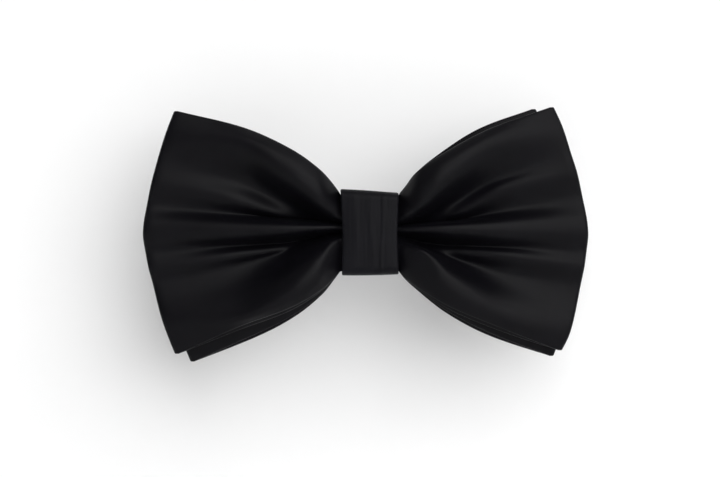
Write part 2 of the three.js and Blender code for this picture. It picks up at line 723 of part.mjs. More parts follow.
// One leg lies on the base plate, the coil winds round the pin, the other leg lies under the tab.
function springCurve() {
  const legY = SPRING_WIRE / 2 + FIT;
  const plateLeg = [-SPRING_LEG, legY - PIN_LIFT];
  const tabY = mix(JAW_Y, JAW_Y + TAB_RISE, (SPRING_LEG - TAB_LENGTH / 2) / (TAB_LENGTH / 2));
  const tabLeg = [-SPRING_LEG, tabY - STEEL / 2 - legY];
  const wound = 2 * Math.PI * SPRING_TURNS;
  const coilLength = wound * SPRING_RADIUS;
  const total = coilLength + 2 * SPRING_LEG;
  const halfSpan = (SPRING_TURNS * SPRING_PITCH) / 2;
  return new CurveOf((share) => {
    const way = share * total;
    if (way < SPRING_LEG) {
      const part = way / SPRING_LEG;
      return [mix(plateLeg[0], 0, part), mix(plateLeg[1], -SPRING_RADIUS, part), -halfSpan];
    }
    if (way > SPRING_LEG + coilLength) {
      const part = (way - SPRING_LEG - coilLength) / SPRING_LEG;
      return [mix(0, tabLeg[0], part), mix(SPRING_RADIUS, tabLeg[1], part), halfSpan];
    }
    const part = (way - SPRING_LEG) / coilLength;
    const angle = part * wound - Math.PI / 2;
    const z = mix(-halfSpan, halfSpan, part);
    return [SPRING_RADIUS * Math.cos(angle), SPRING_RADIUS * Math.sin(angle), z];
  });
}

// The loop of thread that sews a tongue of the plate down to the rear bow. It goes through both holes
// and stops short of the satin.
function tackCurve(side) {
  const { foldX } = wingRow(rearBow, side, 0);
  const way = (TACK_X - KNOT_SIDE) / (foldX - KNOT_SIDE);
  const satinBack = panelY(rearBow, rearBow.back, way, 0) + PANEL / 2;
  const frontY = Math.min(satinBack + FIT, PLATE_FRONT - FIT) - PIN_Y;
  const backY = PLATE_BACK + FIT + TACK_THREAD / 2 - PIN_Y;
  const points = [
    [TACK_X - PIVOT_X, frontY, -TACK_SPREAD],
    [TACK_X - PIVOT_X, mix(frontY, backY, 0.75), -TACK_SPREAD],
    [TACK_X - PIVOT_X, backY, -TACK_SPREAD + 0.5],
    [TACK_X - PIVOT_X, backY, TACK_SPREAD - 0.5],
    [TACK_X - PIVOT_X, mix(frontY, backY, 0.75), TACK_SPREAD],
    [TACK_X - PIVOT_X, frontY, TACK_SPREAD],
  ];
  return new THREE.CatmullRomCurve3(points.map((p) => new THREE.Vector3(...p)));
}

function addClipSide(name, side) {
  const group = new THREE.Group();
  group.position.set(side * PIVOT_X, PIN_Y, 0);
  group.rotation.y = side === LEFT ? Math.PI : 0;
  part.add(group);
  const pin = addMesh(group, `${name}_clip_pin`, pinGeometry(), steel);
  pin.rotation.x = Math.PI / 2;
  addMesh(group, `${name}_clip_spring`, threadAlong(springCurve(), SPRING_WIRE, 52, 6), springSteel);
  addMesh(group, `${name}_jaw`, jawGeometry(), steel);
  const jawSeat = TIP_Y - STEEL / 2 - FIT;
  addMesh(group, `${name}_jaw_grip`, gripGeometry(jawSeat, -1, GRIP_START), gripPlastic);
  const plateSeat = FIT - PIN_LIFT;
  addMesh(group, `${name}_plate_grip`, gripGeometry(plateSeat, 1, GRIP_START), gripPlastic);
  addMesh(group, `${name}_plate_tack`, threadAlong(tackCurve(side), TACK_THREAD, 14, 6), thread);
}

addClipSide("left", LEFT);
addClipSide("right", RIGHT);

export default part;
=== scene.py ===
"""A clip-on satin bow tie: two gathered satin bows, a knot band and a sprung two-jaw collar clip.

Sizes in the tables are millimetres. The front faces -Y, +X is on the right as seen from the front,
+Z is up, and the origin is the middle of the knot's flat back.
"""
import json
import math
from collections import namedtuple

import bpy
import numpy as np
from mathutils import Matrix, Vector


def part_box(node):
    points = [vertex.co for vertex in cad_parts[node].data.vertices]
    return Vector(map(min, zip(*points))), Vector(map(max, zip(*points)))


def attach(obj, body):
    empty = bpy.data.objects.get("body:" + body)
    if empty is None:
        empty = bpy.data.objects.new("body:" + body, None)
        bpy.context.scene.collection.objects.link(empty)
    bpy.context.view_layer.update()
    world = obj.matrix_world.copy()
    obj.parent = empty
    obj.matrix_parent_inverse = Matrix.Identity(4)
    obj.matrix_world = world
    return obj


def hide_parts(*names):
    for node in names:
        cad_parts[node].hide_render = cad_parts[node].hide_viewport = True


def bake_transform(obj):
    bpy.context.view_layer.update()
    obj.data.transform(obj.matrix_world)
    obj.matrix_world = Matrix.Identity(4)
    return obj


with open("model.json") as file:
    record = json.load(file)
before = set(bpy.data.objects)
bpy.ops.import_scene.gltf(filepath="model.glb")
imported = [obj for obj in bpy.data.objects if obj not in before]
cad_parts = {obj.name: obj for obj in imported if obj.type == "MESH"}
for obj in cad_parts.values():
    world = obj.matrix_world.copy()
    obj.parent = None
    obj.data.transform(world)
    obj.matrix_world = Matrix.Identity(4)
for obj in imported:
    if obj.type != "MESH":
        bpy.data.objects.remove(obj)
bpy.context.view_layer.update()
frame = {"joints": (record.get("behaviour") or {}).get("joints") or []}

bl_info = {
    "name": "Clip-on Satin Bow Tie",
    "version": (1, 0, 0),
    "blender": (4, 5, 0),
    "location": "3D Viewport > Sidebar > Bow Tie",
    "description": "Builds a ready-tied satin bow tie with its collar clip",
    "category": "Object",
}

MM = 0.001
LEFT = -1
RIGHT = 1
SIDES = {"left": LEFT, "right": RIGHT}

# ---- Places taken from the frame, in millimetres -------------------------------------------------


def box_mm(node):
    low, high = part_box(node)
    return low / MM, high / MM


KNOT_LOW, KNOT_HIGH = box_mm("knot_satin")
PLATE_LOW, PLATE_HIGH = box_mm("clip_base_plate")
PIVOTS = {joint["child"]: Vector(joint["pos_m"]) / MM for joint in frame["joints"]}

# The distance out at which the wings begin: the side of the knot, with a little clearance.
KNOT_SIDE = KNOT_HIGH.x + 0.3

# ---- The wings' folds ----------------------------------------------------------------------------
# A fold line runs from the knot to the wing's tip. `share` is where it lies on the flat strip, from
# 1 at the upper edge to -1 at the lower one. `heights` are its heights at HEIGHT_STATIONS and `lifts`
# how far it stands forward at LIFT_STATIONS. Stations are shares of the way from the knot to the tip.
FoldLine = namedtuple("FoldLine", "share heights lifts")
HEIGHT_STATIONS = (0, 0.04, 0.12, 0.3, 0.6, 1)
LIFT_STATIONS = (0, 0.05, 0.14, 0.24, 0.36, 0.62, 1)

FOLDS = {
    LEFT: (
        FoldLine(1.0, (10.9, 13.5, 17.6, 23.5, 29.7, 34.3), (0.4, 1.2, 3.0, 3.3, 3.1, 1.8, 0.1)),
        FoldLine(0.80, (5.6, 7.4, 11.0, 17.6, 25.6, 27.5), (2.6, 4.4, 7.2, 8.0, 7.4, 4.5, 1.2)),
        FoldLine(0.56, (3.6, 4.2, 5.6, 9.0, 15.0, 19.0), (0.0, -0.5, -1.8, -3.4, -3.6, -1.2, 0.5)),
        FoldLine(0.40, (3.0, 3.4, 4.0, 5.3, 9.9, 13.5), (-1.2, -1.8, -3.6, -4.4, -1.6, 1.2, 0.6)),
        FoldLine(0.24, (2.5, 2.8, 3.2, 3.9, 5.5, 8.0), (-2.0, -2.8, -4.6, -5.0, -4.2, -2.2, -1.3)),
        FoldLine(0.09, (1.8, 1.85, 1.9, 2.2, 2.5, 2.9), (0.8, 1.4, 2.3, 3.0, 3.3, 2.8, 1.3)),
        FoldLine(-0.03, (1.2, 1.15, 0.9, 0.0, -0.7, -1.2), (0.8, 1.4, 2.3, 3.0, 3.3, 2.8, 1.4)),
        FoldLine(-0.17, (0.4, 0.1, -0.7, -2.3, -3.6, -5.4), (-2.0, -2.8, -4.6, -5.0, -4.2, -2.4, -0.6)),
        FoldLine(-0.32, (-0.6, -0.9, -1.9, -4.3, -6.8, -10.3), (-1.2, -1.8, -3.6, -4.2, -1.8, 1.0, 0.6)),
        FoldLine(-0.43, (-1.3, -1.7, -3.0, -5.8, -9.5, -13.8), (0.0, -0.4, -1.6, -3.2, -3.6, -2.4, -1.6)),
        FoldLine(-0.72, (-2.6, -3.8, -9.8, -16.9, -23.4, -24.6), (2.5, 4.2, 6.8, 7.6, 7.0, 4.3, 1.0)),
        FoldLine(-1.0, (-10.9, -12.8, -16.1, -20.8, -25.9, -34.0), (0.4, 1.0, 2.8, 4.0, 4.0, 2.4, 0.0)),
    ),
    RIGHT: (
        FoldLine(1.0, (10.8, 12.9, 17.2, 22.5, 29.3, 35.4), (0.4, 1.2, 3.0, 3.3, 3.1, 1.8, 0.1)),
        FoldLine(0.83, (4.8, 5.9, 9.0, 16.6, 25.2, 30.0), (2.6, 4.4, 7.2, 8.0, 7.4, 4.5, 0.9)),
        FoldLine(0.62, (3.1, 3.5, 4.8, 8.6, 15.9, 22.0), (0.0, -0.5, -1.8, -3.4, -3.6, -1.2, 0.5)),
        FoldLine(0.46, (2.6, 2.8, 3.4, 5.2, 12.6, 16.6), (-1.2, -1.8, -3.6, -4.4, -1.8, 1.3, 0.8)),
        FoldLine(0.29, (2.1, 2.3, 2.6, 3.3, 6.6, 10.2), (-2.0, -2.8, -4.6, -5.0, -4.2, -2.4, -1.5)),
        FoldLine(0.09, (1.2, 1.3, 1.5, 2.0, 2.5, 3.0), (0.8, 1.4, 2.3, 3.0, 3.3, 2.8, 1.3)),
        FoldLine(-0.02, (0.6, 0.5, 0.3, -0.2, -0.7, -1.1), (0.8, 1.4, 2.3, 3.0, 3.3, 2.8, 1.4)),
        FoldLine(-0.14, (-0.5, -1.0, -1.9, -3.0, -3.8, -5.0), (-2.0, -2.8, -4.6, -5.0, -4.2, -2.4, -0.6)),
        FoldLine(-0.27, (-1.4, -2.0, -3.4, -5.1, -6.5, -9.5), (-1.2, -1.8, -3.4, -3.2, -1.2, 1.2, 0.7)),
        FoldLine(-0.40, (-2.4, -2.9, -4.4, -7.0, -10.7, -13.9), (0.0, -0.4, -1.4, -2.8, -3.8, -2.6, -1.1)),
        FoldLine(-0.80, (-4.7, -4.8, -5.3, -13.8, -22.5, -28.5), (2.5, 4.2, 6.6, 7.6, 7.0, 4.0, 0.5)),
        FoldLine(-1.0, (-10.8, -12.8, -15.4, -20.3, -26.0, -33.0), (0.4, 1.0, 2.8, 4.0, 4.2, 2.6, 0.0)),
    ),
}
# Rounds of averaging that soften the folds, and how much broader the ridges are than the valleys
# beside the knot.
FOLD_SOFTNESS = 7
PUFF = 0.6

# Beside the knot the cloth turns in behind a crease. Each crease is a line from one (distance,
# height) to another, and the cloth on its knot side falls back by `slope`.
Crease = namedtuple("Crease", "side start end slope")
CREASES = (
    Crease(RIGHT, (11.6, 7.9), (13.2, 16.3), 0.45),
    Crease(LEFT, (11.4, 8.6), (13.2, 16.6), 0.32),
)
CREASE_SOFTNESS = 0.35

# A panel is one face of a bow. Its ridges take `rise` of the fold lines' lifts and its valleys
# `sink` of them, and its lower edge hangs by `droop`.
Panel = namedtuple("Panel", "at_knot rise sink droop")

# A bow is one strip with a front and a back panel, which meet at the wing's tip, at depth `fold_y`.
# `corner_in` is how far the tip's corners lie in from its middle. The shifts move its upper and
# lower edges off the fold lines' own, at HEIGHT_STATIONS.
Bow = namedtuple("Bow", "name reach fold_y front back corner_in top_shift low_shift")
NO_SHIFT = {LEFT: (0,) * len(HEIGHT_STATIONS), RIGHT: (0,) * len(HEIGHT_STATIONS)}
FOLD_RADIUS = 0.65
TIP_POWER = 1.5
BOWS = (
    Bow(
        name="front_bow",
        reach={LEFT: 63.7, RIGHT: 61.5},
        fold_y=-10.1,
        front=Panel(at_knot=-11.5, rise=1.0, sink=0.84, droop=0.0),
        back=Panel(at_knot=-9.4, rise=0.8, sink=0.62, droop=1.0),
        corner_in={(LEFT, 1): 8.6, (LEFT, -1): 8.8, (RIGHT, 1): 9.5, (RIGHT, -1): 7.2},
        top_shift=NO_SHIFT,
        low_shift=NO_SHIFT,
    ),
    Bow(
        name="rear_bow",
        reach={LEFT: 61.0, RIGHT: 58.8},
        fold_y=-5.3,
        front=Panel(at_knot=-7.3, rise=0.6, sink=0.44, droop=0.0),
        back=Panel(at_knot=-5.2, rise=0.42, sink=0.26, droop=0.9),
        corner_in={(LEFT, 1): 9.6, (LEFT, -1): 10.2, (RIGHT, 1): 11.6, (RIGHT, -1): 6.6},
        top_shift={LEFT: (0, -0.5, -0.8, -0.9, -1.0, -1.1), RIGHT: (0, -0.4, -0.5, -0.2, 0.2, -0.3)},
        low_shift={LEFT: (0, -0.2, -0.8, -1.8, -3.1, -2.4), RIGHT: (0, -0.1, -0.4, -1.2, -2.2, -1.8)},
    ),
)

# ---- Numbers for cloth ---------------------------------------------------------------------------
# Rows from the knot's side to the tip, from its middle to its side and round the tip, and columns
# from the lower edge to the upper one.
WING_STEPS = 46
KNOT_STEPS = 6
FOLD_STEPS = 5
ACROSS_STEPS = 84

# The gap between a strip's two ends, and the cloth's height and depth at the middle of the knot as
# shares of those at its side.
END_GAP = 1.5
STACK_SHARE = 0.81
STACK_DEPTH = 0.75

# Half the thickness of a sleeve in the wings and in the knot, and where one becomes the other.
SLEEVE_HALF = 0.42
PINCHED_HALF = 0.38
PINCH_START = 4
PINCH_LENGTH = 20

STREAK_DEPTH = 0.05
WAVE_DEPTH = 0.07


def smooth_through(places, values, at):
    """Values at `at` on smooth curves through the given values, without overshoot between them."""
    x = np.asarray(places, float)
    y = np.asarray(values, float)
    at = np.asarray(at, float)
    gaps = np.diff(x).reshape((-1,) + (1,) * (y.ndim - 1))
    slopes = np.diff(y, axis=0) / gaps
    before, after = slopes[:-1], slopes[1:]
    product = before * after
    with np.errstate(divide="ignore", invalid="ignore"):
        inner = np.where(product > 0, 2 * product / (before + after), 0.0)
    tangents = np.concatenate([slopes[:1], inner, slopes[-1:]])
    index = np.clip(np.searchsorted(x, at, side="right") - 1, 0, len(x) - 2)
    width = (x[index + 1] - x[index]).reshape((-1,) + (1,) * (y.ndim - 1))
    t = (at - x[index]).reshape(width.shape) / width
    a, b = y[index], y[index + 1]
    ta, tb = tangents[index] * width, tangents[index + 1] * width
    return (
        (2 * t**3 - 3 * t**2 + 1) * a
        + (t**3 - 2 * t**2 + t) * ta
        + (-2 * t**3 + 3 * t**2) * b
        + (t**3 - t**2) * tb
    )


def unit(vectors):
    return vectors / np.maximum(np.linalg.norm(vectors, axis=-1, keepdims=True), 1e-12)


def fold_grid(side, ways, shares, quantity, stations):
    """A quantity of the fold lines over the wing: rows are ways out from the knot, columns shares."""
    lines = sorted(FOLDS[side], key=lambda line: line.share)
    along = smooth_through(stations, np.array([getattr(line, quantity) for line in lines]).T, ways)
    return smooth_through([line.share for line in lines], along.T, shares).T


def rounded_across(lifts):
    """The lifts with their ridges and valleys rounded, by averaging each with its neighbours."""
    for _ in range(FOLD_SOFTNESS):
        inner = (lifts[:, :-2] + 2 * lifts[:, 1:-1] + lifts[:, 2:]) / 4
        lifts = np.concatenate([lifts[:, :1], inner, lifts[:, -1:]], axis=1)
    return lifts


def puffed(lifts, ways):
    """The lifts with broad rounded ridges between tight valleys, most of all beside the knot."""
    low = lifts.min(axis=1, keepdims=True)
    high = lifts.max(axis=1, keepdims=True)
    return high - (high - low) * ((high - lifts) / (high - low)) ** (1 + PUFF * (1 - ways[:, None]))


def crease_drop(side, distance, height):
    """How far the cloth falls back on the knot side of the creases."""
    drop = np.zeros_like(distance)
    for crease in CREASES:
        if crease.side != side:
            continue
        (x0, z0), (x1, z1) = crease.start, crease.end
        line_x = x0 + (height - z0) * (x1 - x0) / (z1 - z0)
        behind = (line_x - distance) / CREASE_SOFTNESS
        soft = CREASE_SOFTNESS * np.logaddexp(0, behind)
        window = 1 / (1 + np.exp(-(height - z0) / 0.5))
        drop += crease.slope * soft * window
    return drop


def edge_shift(bow, panel, side, ways, shares):
    """How far a panel's edges lie from the front bow's edges, tapering to nothing at the middle."""
    top = smooth_through(HEIGHT_STATIONS, bow.top_shift[side], ways)[:, None]
    low = smooth_through(HEIGHT_STATIONS, bow.low_shift[side], ways)[:, None]
    low = low - panel.droop * np.sin(np.pi * np.clip(ways, 0, 1))[:, None]
    weight = (shares**2)[None, :]
    return np.where(shares[None, :] > 0, top - SLEEVE_HALF, low + SLEEVE_HALF) * weight


def cloth_waves(distance, height, side):
    """Slight unevenness of the cloth: shallow streaks that fan out from the knot, and slow waves."""
    reach = np.hypot(distance, height)
    angle = np.arctan2(height, distance)
    streaks = np.sin(23 * angle + 1.7 * side + 0.05 * reach) + 0.6 * np.sin(41 * angle + 2.1 - 0.03 * reach)
    waves = np.sin(0.21 * distance + 0.13 * height + side)
    streaks = STREAK_DEPTH * streaks * np.clip(reach / 40, 0, 1)
    return streaks + WAVE_DEPTH * waves * np.clip(reach / 30, 0, 1)


def wing_panel(bow, panel, side, ways, shares):
    """Middle of a panel in one wing: points by way out from the knot and by share across."""
    height = fold_grid(side, ways, shares, "heights", HEIGHT_STATIONS)
    height = height + edge_shift(bow, panel, side, ways, shares)
    lift = puffed(rounded_across(fold_grid(side, ways, shares, "lifts", LIFT_STATIONS)), ways)
    corner = np.where(shares > 0, bow.corner_in[(side, 1)], bow.corner_in[(side, -1)])
    tip_x = bow.reach[side] - corner * np.abs(shares) ** TIP_POWER - FOLD_RADIUS - SLEEVE_HALF
    distance = KNOT_SIDE + ways[:, None] * (tip_x[None, :] - KNOT_SIDE)
    lift = lift - crease_drop(side, distance, height) + cloth_waves(distance, height, side)
    at_fold = bow.fold_y + (-FOLD_RADIUS if panel is bow.front else FOLD_RADIUS)
    base = panel.at_knot + (at_fold - panel.at_knot) * ways[:, None]
    forward = lift * np.where(lift > 0, panel.rise, panel.sink)
    return np.stack([side * distance, base - forward, height], axis=-1)


def inside_knot(wing, side):
    """The panel's run inside the knot, from beside its middle to the wing's first row."""
    first = wing[0]
    middle_y = first[:, 1].mean()
    rows = []
    for step in range(1, KNOT_STEPS):
        share = step / KNOT_STEPS
        row = first.copy()
        row[:, 0] = side * KNOT_SIDE * share
        row[:, 1] = middle_y + (first[:, 1] - middle_y) * (STACK_DEPTH + (1 - STACK_DEPTH) * share)
        row[:, 2] = first[:, 2] * (STACK_SHARE + (1 - STACK_SHARE) * share)
        rows.append(row)
    return np.array(rows)


def bow_middle(bow):
    """The middle of a bow's strip: from its left end, round both wing tips, to its right end."""
    shares = np.linspace(-1, 1, ACROSS_STEPS)
    spread = np.linspace(0, 1, WING_STEPS)
    ways = 0.45 * spread**2 + 0.55 * spread
    fronts = {side: wing_panel(bow, bow.front, side, ways, shares) for side in (LEFT, RIGHT)}
    backs = {side: wing_panel(bow, bow.back, side, ways, shares) for side in (LEFT, RIGHT)}

    def fold(side):
        """The turn at a wing's tip, from its back panel to its front one."""
        start, end = fronts[side][-1], backs[side][-1]
        rows = []
        for step in range(1, FOLD_STEPS):
            angle = math.pi * step / FOLD_STEPS
            row = start + (end - start) * (1 - math.cos(angle)) / 2
            row[:, 0] += side * FOLD_RADIUS * math.sin(angle)
            rows.append(row)
        return np.array(rows[::-1])

    def narrowed(row, x):
        """A row moved to a place inside the knot, as low as the cloth is there."""
        row = row.copy()
        row[:, 0] = x
        row[:, 2] *= STACK_SHARE
        return row[None]

    def half_strip(side):
        """One wing: out along its back panel, round the tip and in along its front panel."""
        front, back = fronts[side], backs[side]
        return np.concatenate([
            narrowed(back[0], side * END_GAP / 2),
            inside_knot(back, side),
            back,
            fold(side),
            front[::-1],
            inside_knot(front, side)[::-1],
        ])

    middle = narrowed((fronts[LEFT][0] + fronts[RIGHT][0]) / 2, 0)
    return np.concatenate([half_strip(LEFT), middle, half_strip(RIGHT)[::-1]])


# ---- Cloth solids --------------------------------------------------------------------------------
# Steps round a cloth's edge, and a thread's sides and plies.
CAP_STEPS = 4
THREAD_SIDES = 10
THREAD_PLIES = 2


def run_along(points):
    """The distance along a line at each of its points."""
    return np.concatenate([[0], np.cumsum(np.linalg.norm(np.diff(points, axis=0), axis=1))])


def wrapped_rings(middle, half, closed=False):
    """Rings round a strip of half thickness `half`: up its outer face, over its edge and down again."""
    if closed:
        padded = np.concatenate([middle[-1:], middle, middle[:1]])
        along = (padded[2:] - padded[:-2]) / 2
    else:
        along = np.gradient(middle, axis=0)
    across = np.gradient(middle, axis=1)
    normal = unit(np.cross(along, across))
    half = np.broadcast_to(np.asarray(half, float), middle.shape[:1])[:, None, None]
    outer = middle + half * normal
    inner = (middle - half * normal)[:, ::-1]
    upper_out = unit(across[:, -1:])
    lower_out = -unit(across[:, :1])
    angles = np.pi * np.arange(1, CAP_STEPS) / CAP_STEPS
    cos, sin = np.cos(angles)[None, :, None], np.sin(angles)[None, :, None]
    upper = middle[:, -1:] + half * (cos * normal[:, -1:] + sin * upper_out)
    lower = middle[:, :1] + half * (-cos * normal[:, :1] + sin * lower_out)
    return np.concatenate([outer, upper, inner, lower], axis=1)


def ring_faces(count, size, offset, inward, closed):
    """Faces between neighbouring rings of points."""
    faces = []
    for i in range(count if closed else count - 1):
        here = offset + i * size
        there = offset + ((i + 1) % count) * size
        for k in range(size):
            nxt = (k + 1) % size
            quad = (here + k, there + k, there + nxt, here + nxt)
            faces.append(quad[::-1] if inward else quad)
    return faces


def hollow_end(ring, size, inner):
    """Faces that join a sleeve's outer ring to its inner one."""
    nexts = [(k + 1) % size for k in range(size)]
    return [(ring + k, ring + nxt, inner + nxt, inner + k) for k, nxt in enumerate(nexts)]


def solid_end(ring, span):
    """Faces that close the end of a strip with `span` points up each face."""
    back = 2 * span + CAP_STEPS - 2
    faces = [(ring + k, ring + k + 1, ring + back - k - 1, ring + back - k) for k in range(span - 1)]
    faces.append(tuple(ring + k for k in range(span - 1, span + CAP_STEPS)))
    faces.append(tuple(ring + k for k in range(back, back + CAP_STEPS)) + (ring,))
    return faces


def cloth_uv(middle):
    """Places on the flat cloth, in millimetres: along the strip and up it, for every ring point."""
    span = middle.shape[1]
    run = run_along(middle[:, span // 2])
    width = np.linalg.norm(np.diff(middle, axis=1), axis=2).sum(axis=1).max()
    up = np.linspace(-width / 2, width / 2, span)
    cap = np.full(CAP_STEPS - 1, width / 2)
    round_ring = np.concatenate([up, cap, up[::-1], -cap])
    return np.stack(np.broadcast_arrays(run[:, None], round_ring[None, :]), axis=-1).reshape(-1, 2)


def piece_of(name, points, faces, uv):
    """A new piece from points in millimetres, with its cloth places as the UV map "Cloth"."""
    mesh = bpy.data.meshes.new(name)
    mesh.from_pydata((points * MM).tolist(), [], faces)
    layer = mesh.uv_layers.new(name="Cloth")
    corners = np.zeros(len(mesh.loops), int)
    mesh.loops.foreach_get("vertex_index", corners)
    layer.data.foreach_set("uv", uv[corners].astype(np.float32).ravel())
    mesh.validate()
    mesh.shade_smooth()
    piece = bpy.data.objects.new(name, mesh)
    bpy.context.scene.collection.objects.link(piece)
    return piece


def cloth_mesh(name, middle, half, wall=None, closed=False):
    """A strip of cloth as a closed solid. With `wall` it is a sleeve: hollow, and open at its ends."""
    rings = wrapped_rings(middle, half, closed)
    count, size = rings.shape[:2]
    points = rings.reshape(-1, 3)
    faces = ring_faces(count, size, 0, False, closed)
    uv = cloth_uv(middle)
    if wall is not None:
        inside = wrapped_rings(middle, np.asarray(half) - wall, closed)
        faces += ring_faces(count, size, len(points), True, closed)
        points = np.concatenate([points, inside.reshape(-1, 3)])
        uv = np.concatenate([uv, uv])
    if not closed:
        for ring, flip in ((0, False), ((count - 1) * size, True)):
            if wall is None:
                end = solid_end(ring, middle.shape[1])
            else:
                end = hollow_end(ring, size, ring + count * size)
            faces += [face[::-1] if flip else face for face in end]
    return piece_of(name, points, faces, uv)


def thread_mesh(name, points, diameter, twist=4.0):
    """A twisted thread along a smooth line of points: its section has one lobe for each ply."""
    points = np.asarray(points, float)
    tangents = unit(np.gradient(points, axis=0))
    normals = np.zeros_like(points)
    helper = np.array([0.0, 0.0, 1.0]) if abs(tangents[0, 2]) < 0.9 else np.array([1.0, 0.0, 0.0])
    normal = unit(np.cross(tangents[0], helper))
    for i, tangent in enumerate(tangents):
        normal = unit(normal - tangent * np.dot(normal, tangent))
        normals[i] = normal
    binormals = np.cross(tangents, normals)
    run = run_along(points)
    angles = 2 * np.pi * np.arange(THREAD_SIDES) / THREAD_SIDES
    turned = angles[None, :] + twist * run[:, None] / diameter
    lobes = 0.5 * diameter * (0.84 + 0.16 * np.abs(np.cos(THREAD_PLIES * angles / 2)))[None, :, None]
    rings = points[:, None] + lobes * (
        np.cos(turned)[..., None] * normals[:, None] + np.sin(turned)[..., None] * binormals[:, None]
    )
    count = len(points)
    faces = ring_faces(count, THREAD_SIDES, 0, True, False)
    faces.append(tuple(range(THREAD_SIDES)))
    faces.append(tuple(range(count * THREAD_SIDES - 1, (count - 1) * THREAD_SIDES - 1, -1)))
    uv = np.stack(np.broadcast_arrays(run[:, None], angles[None, :]), axis=-1).reshape(-1, 2)
    return piece_of(name, rings.reshape(-1, 3), faces, uv)


def rounded_route(points, steps):
    """A smooth line through a few points."""
    points = np.asarray(points, float)
    run = run_along(points)
    return smooth_through(run / run[-1], points, np.linspace(0, 1, steps))


def rounded_loop(front, back, tall, corner, count):
    """Points (y, z) evenly spaced round a tall rectangle with rounded corners."""
    outline = []
    for cy, cz, start in (
        (back - corner, tall - corner, 0),
        (front + corner, tall - corner, 90),
        (front + corner, -tall + corner, 180),
        (back - corner, -tall + corner, 270),
    ):
        for step in range(9):
            angle = math.radians(start + 90 * step / 8)
            outline.append((cy + corner * math.cos(angle), cz + corner * math.sin(angle)))
    outline = np.array(outline + outline[:1])
    run = run_along(outline)
    at = np.linspace(0, run[-1], count, endpoint=False)
    return np.stack([np.interp(at, run, outline[:, 0]), np.interp(at, run, outline[:, 1])], axis=1)


def zigzag(centre, swing, depths, heights):
    """Points of a stitch that swings from side to side of an upright seam."""
    places = zip(depths, heights)
    return [(centre + (swing if i % 2 else -swing), y, z) for i, (y, z) in enumerate(places)]


def finish_piece(piece, material, body, replaced):
    """Gives a piece its material and the body it moves with, and hides the CAD node that it stands for."""
    piece.data.materials.clear()
    piece.data.materials.append(material)
    if body:
        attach(piece, body)
    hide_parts(replaced)
    return piece


# ---- Materials -----------------------------------------------------------------------------------
# The satins' specular level and sheen, which are the same all over the surface.
BOW_SPECULAR, BOW_SHEEN = 0.098, 0.004
KNOT_SPECULAR, KNOT_SHEEN = 0.08, 0.015
PLATING_ROUGHNESS = 0.24
WIRE_ROUGHNESS = 0.34


def node_of(tree, kind, **inputs):
    """A new node with values on its sockets, which are named with _ for a space."""
    node = tree.nodes.new(kind)
    for name, value in inputs.items():
        node.inputs[name.replace("_", " ")].default_value = value
    return node


def link(tree, source, target):
    tree.links.new(source, target)


def noise(tree, place, **inputs):
    """Noise at a place, from 0 to 1."""
    node = node_of(tree, "ShaderNodeTexNoise", **inputs)
    link(tree, place, node.inputs["Vector"])
    return node.outputs[0]


def stretched(tree, place, scale):
    """A place with its three directions drawn out or in."""
    node = node_of(tree, "ShaderNodeMapping", Scale=scale)
    link(tree, place, node.inputs["Vector"])
    return node.outputs[0]


def maths(tree, operation, a, b=None):
    """A sum on two values, each a number or another node's output."""
    node = tree.nodes.new("ShaderNodeMath")
    node.operation = operation
    for socket, value in zip(node.inputs, (a, b)):
        if value is None:
            continue
        if isinstance(value, (int, float)):
            socket.default_value = value
        else:
            link(tree, value, socket)
    return node.outputs[0]


def new_group(name, inputs, outputs):
    """A shader node group with named inputs and float outputs."""
    group = bpy.data.node_groups.new(name, "ShaderNodeTree")
    for label, kind, default in inputs:
        socket = group.interface.new_socket(name=label, in_out="INPUT", socket_type=kind)
        if default is not None:
            socket.default_value = default
    for label in outputs:
        group.interface.new_socket(name=label, in_out="OUTPUT", socket_type="NodeSocketFloat")
    start = group.nodes.new("NodeGroupInput")
    end = group.nodes.new("NodeGroupOutput")
    return group, start.outputs, end.inputs


def weave_group(name):
    """Satin weave: fine diagonal floats and uneven threads, from cloth coordinates in millimetres."""
    group, given, result = new_group(
        name,
        [("Cloth", "NodeSocketVector", None), ("Threads", "NodeSocketFloat", 5.0)],
        ["Height", "Slub", "Shade"],
    )
    cloth, threads = given["Cloth"], given["Threads"]
    place = group.nodes.new("ShaderNodeSeparateXYZ")
    link(group, cloth, place.inputs[0])
    warp = maths(group, "MULTIPLY", place.outputs["Y"], threads)
    weft = maths(group, "MULTIPLY", place.outputs["X"], threads)
    diagonal = maths(group, "ADD", warp, maths(group, "MULTIPLY", weft, 0.4))
    ribs = maths(group, "SINE", maths(group, "MULTIPLY", diagonal, 2 * math.pi))
    steps = maths(group, "SINE", maths(group, "MULTIPLY", weft, math.pi))
    height = maths(group, "ADD", maths(group, "MULTIPLY", ribs, 0.5), maths(group, "MULTIPLY", steps, 0.3))
    long_threads = stretched(group, cloth, (0.12, 2.2, 1.0))
    link(group, height, result["Height"])
    link(group, noise(group, long_threads, Scale=1.0, Detail=3.0, Roughness=0.6), result["Slub"])
    link(group, noise(group, cloth, Scale=0.08, Detail=2.0, Roughness=0.5), result["Shade"])
    return group


def wear_group(name):
    """Fine scratches and dull patches for metal, from object coordinates."""
    group, given, result = new_group(
        name,
        [("Place", "NodeSocketVector", None), ("Fineness", "NodeSocketFloat", 900.0)],
        ["Scratches", "Patches"],
    )
    place, fineness = given["Place"], given["Fineness"]
    finer = maths(group, "MULTIPLY", fineness, 6.0)
    for label, at, scale, detail, roughness in (
        ("Scratches", stretched(group, place, (0.08, 1.0, 1.0)), finer, 4.0, 0.7),
        ("Patches", place, fineness, 3.0, 0.55),
    ):
        marks = noise(group, at, Detail=detail, Roughness=roughness)
        link(group, scale, marks.node.inputs["Scale"])
        link(group, marks, result[label])
    return group


